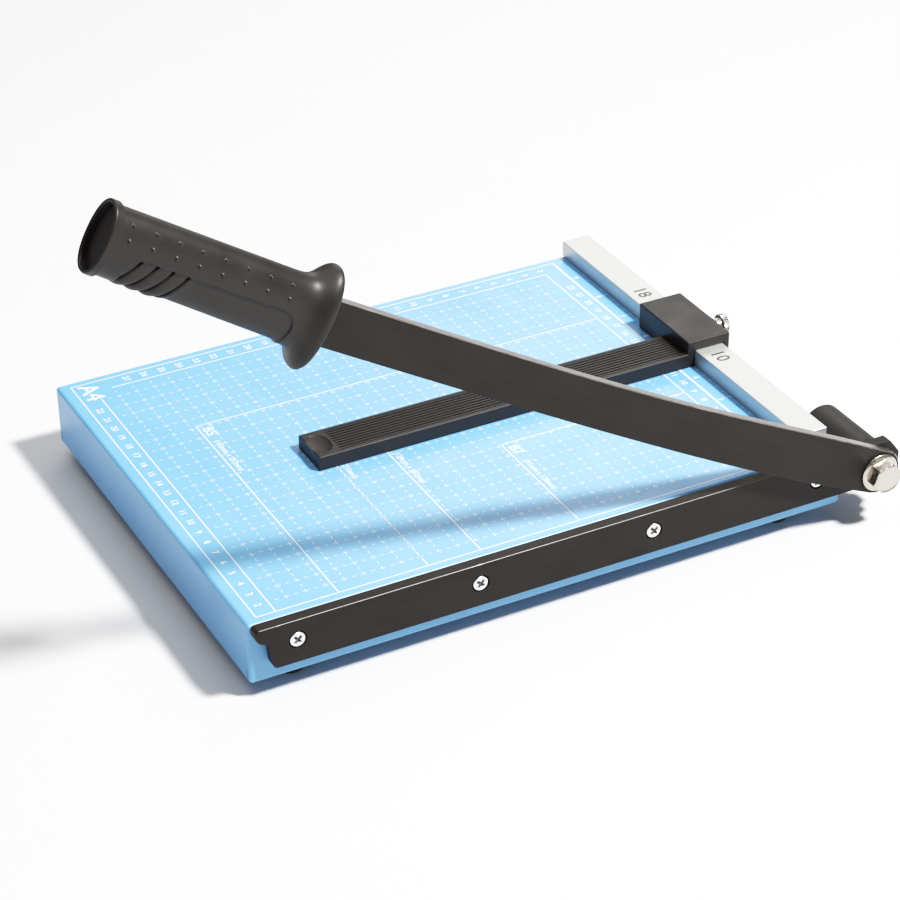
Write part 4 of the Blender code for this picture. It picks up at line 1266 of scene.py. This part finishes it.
def thumb_screw(name, surface):
    """Rings along Y. On the head's rim the radius dips in a triangle wave, once a knurl."""
    radius = (thumb_high[0] - thumb_low[0]) / 2
    outer, start = thumb_high[1], thumb_low[1]
    profile = fillet([(0.3 * MM, outer - 0.5 * MM, 0), (3.2 * MM, outer - 0.5 * MM, 0.3 * MM),
                      (3.8 * MM, outer, 0.2 * MM), (radius - 0.6 * MM, outer, 0.2 * MM),
                      (radius, outer - 0.7 * MM, 0.2 * MM), (radius, outer - 3.3 * MM, 0.2 * MM),
                      (radius - 0.6 * MM, outer - KNURL_LONG, 0.2 * MM),
                      (NECK, outer - KNURL_LONG, 0.4 * MM), (NECK, outer - NECK_END, 0.3 * MM),
                      (THREAD, outer - NECK_END, 0), (THREAD, start + 0.8 * MM, 0),
                      (1.6 * MM, start, 0)], steps=3)
    place = np.arange(KNURLS * 4)
    angle = place * 2 * math.pi / (KNURLS * 4)
    tooth = np.abs((place / 4 % 1) * 2 - 1)
    ring, height = profile[:, 0][:, None], profile[:, 1][:, None]
    cut_in = KNURL_DEEP * tooth * step(ring, radius - 0.7 * MM, radius - 0.1 * MM)
    grid = np.stack(np.broadcast_arrays((ring - cut_in) * np.cos(angle), height,
                                        (ring - cut_in) * np.sin(angle)), -1) + thumb_axis
    return lofted(name, grid, [surface], smooth=30)


knob = thumb_screw("knurled_thumb_screw", nickel)
fitted(knob, "thumb", "bright_steel", "thumb_screw")
collar_low, collar_high = corners("thumb_collar")
collar_radius = (collar_high[0] - collar_low[0]) / 2
collar_profile = fillet([
    (THUMB_BORE, collar_low[1], 0), (collar_radius, collar_low[1], 0.3 * MM),
    (collar_radius, collar_high[1], 0.5 * MM), (THUMB_BORE, collar_high[1], 0),
    (THUMB_BORE, collar_low[1], 0)], steps=4)
collar = turned("locking_collar", collar_profile, thumb_axis, "Y", [blackened_steel()])
fitted(collar, "gauge", "black_steel", "thumb_collar")


# ------------------------------------------------------------------ hidden hardware
# The nuts inside the skirt, the screws of the feet and the rail, and the spring inside its
# sleeve keep their modelled shapes, and are zinc plated like the blade screws.

for name, node in frame["nodes"].items():
    if name.startswith(("blade_nut", "foot_screw", "rail_screw", "pivot_spring")):
        node.material_slots[0].material = zinc


# ------------------------------------------------------------------ studio
# A white floor and a bright even surround. The key light stands high beyond the pivot and
# throws the arm's shadow across the bed. A large light overhead and a low one at the far side
# of the bed soften it.

FLOOR_HALF = 6.0
AIM = np.array((0, 0, 0.04))
scene = bpy.context.scene


def paper_floor():
    """Seamless white paper, nearly flat in colour."""
    paper = Finish("studio_paper", IOR=1.45)
    fibre = paper.grain(40 * MM, detail=3)
    return paper.cover(paper.blend(fibre, (0.64, 0.64, 0.645, 1), (0.66, 0.66, 0.665, 1)), 0.9)


floor_section = np.array([(0.0, -2 * MM), (0.0, -0.01 * MM)])
floor_grid = rounded_loops(floor_section, FLOOR_HALF, FLOOR_HALF, 0.5)
floor = lofted("studio_floor", floor_grid, [paper_floor()])

world = bpy.data.worlds.new("studio")
world.use_nodes = True
surround = world.node_tree.nodes["Background"].inputs
surround["Color"].default_value = (1.0, 1.0, 1.0, 1)
surround["Strength"].default_value = 0.2
scene.world = world


def facing(towards, spot, roll=0.0):
    """A placement at spot, its back turned in the direction towards, then rolled about it."""
    side = np.cross((0, 0, 1), towards)
    side /= np.linalg.norm(side)
    up = np.cross(towards, side)
    axes = np.stack([side * math.cos(roll) + up * math.sin(roll),
                     up * math.cos(roll) - side * math.sin(roll), towards, spot], 1)
    return Matrix([*axes.tolist(), (0, 0, 0, 1)])


def soft_light(name, towards, far, size, watts):
    """A square area light, far away in a direction and turned to face the object."""
    towards = np.array(towards, float) / np.linalg.norm(towards)
    lamp = bpy.data.lights.new(name, "AREA")
    lamp.size = size
    lamp.energy = watts
    holder = bpy.data.objects.new(name, lamp)
    holder.matrix_world = facing(towards, AIM + towards * far)
    scene.collection.objects.link(holder)


soft_light("key", (0.545, 0.45, 1.0), 2.4, 0.28, 172)
soft_light("top", (-0.2, -0.1, 1.0), 2.2, 2.0, 27)
soft_light("back", (-0.684, 0.516, 0.515), 2.2, 0.9, 12)

# The camera looks down at the bench from the cutting side, near the operator's end, with a
# long lens. Its azimuth is 0 when it looks along +Y.
CAMERA_AZIMUTH = math.radians(63.05)
CAMERA_ELEVATION = math.radians(31.6)
CAMERA_ROLL = math.radians(-0.91)
CAMERA_FAR = 1.43
CAMERA_AIM = np.array((0.0024, 0.0163, 0.0294))
camera_data = bpy.data.cameras.new("camera")
camera_data.lens = 111.45
camera_data.sensor_width = 36
camera_data.clip_end = 50
camera = bpy.data.objects.new("camera", camera_data)
camera_back = np.array((math.sin(CAMERA_AZIMUTH) * math.cos(CAMERA_ELEVATION),
                        -math.cos(CAMERA_AZIMUTH) * math.cos(CAMERA_ELEVATION),
                        math.sin(CAMERA_ELEVATION)))
camera.matrix_world = facing(camera_back, CAMERA_AIM + camera_back * CAMERA_FAR, CAMERA_ROLL)
scene.collection.objects.link(camera)
scene.camera = camera
# The bright end is rolled off in straight steps, and the dark end is left as it is.
scene.view_settings.view_transform = "Standard"
scene.view_settings.use_curve_mapping = True
tone = scene.view_settings.curve_mapping
TONE_WHITE = 3
tone.white_level = (TONE_WHITE, TONE_WHITE, TONE_WHITE)
shoulder = tone.curves[3].points
for brightness, shown in ((0.2, 0.2), (0.4, 0.41), (0.6, 0.575), (0.9, 0.73), (1.3, 0.87),
                          (1.7, 0.96), (2.1, 1.0)):
    shoulder.new(brightness / TONE_WHITE, shown)
for point in shoulder:
    point.handle_type = "VECTOR"
tone.update()
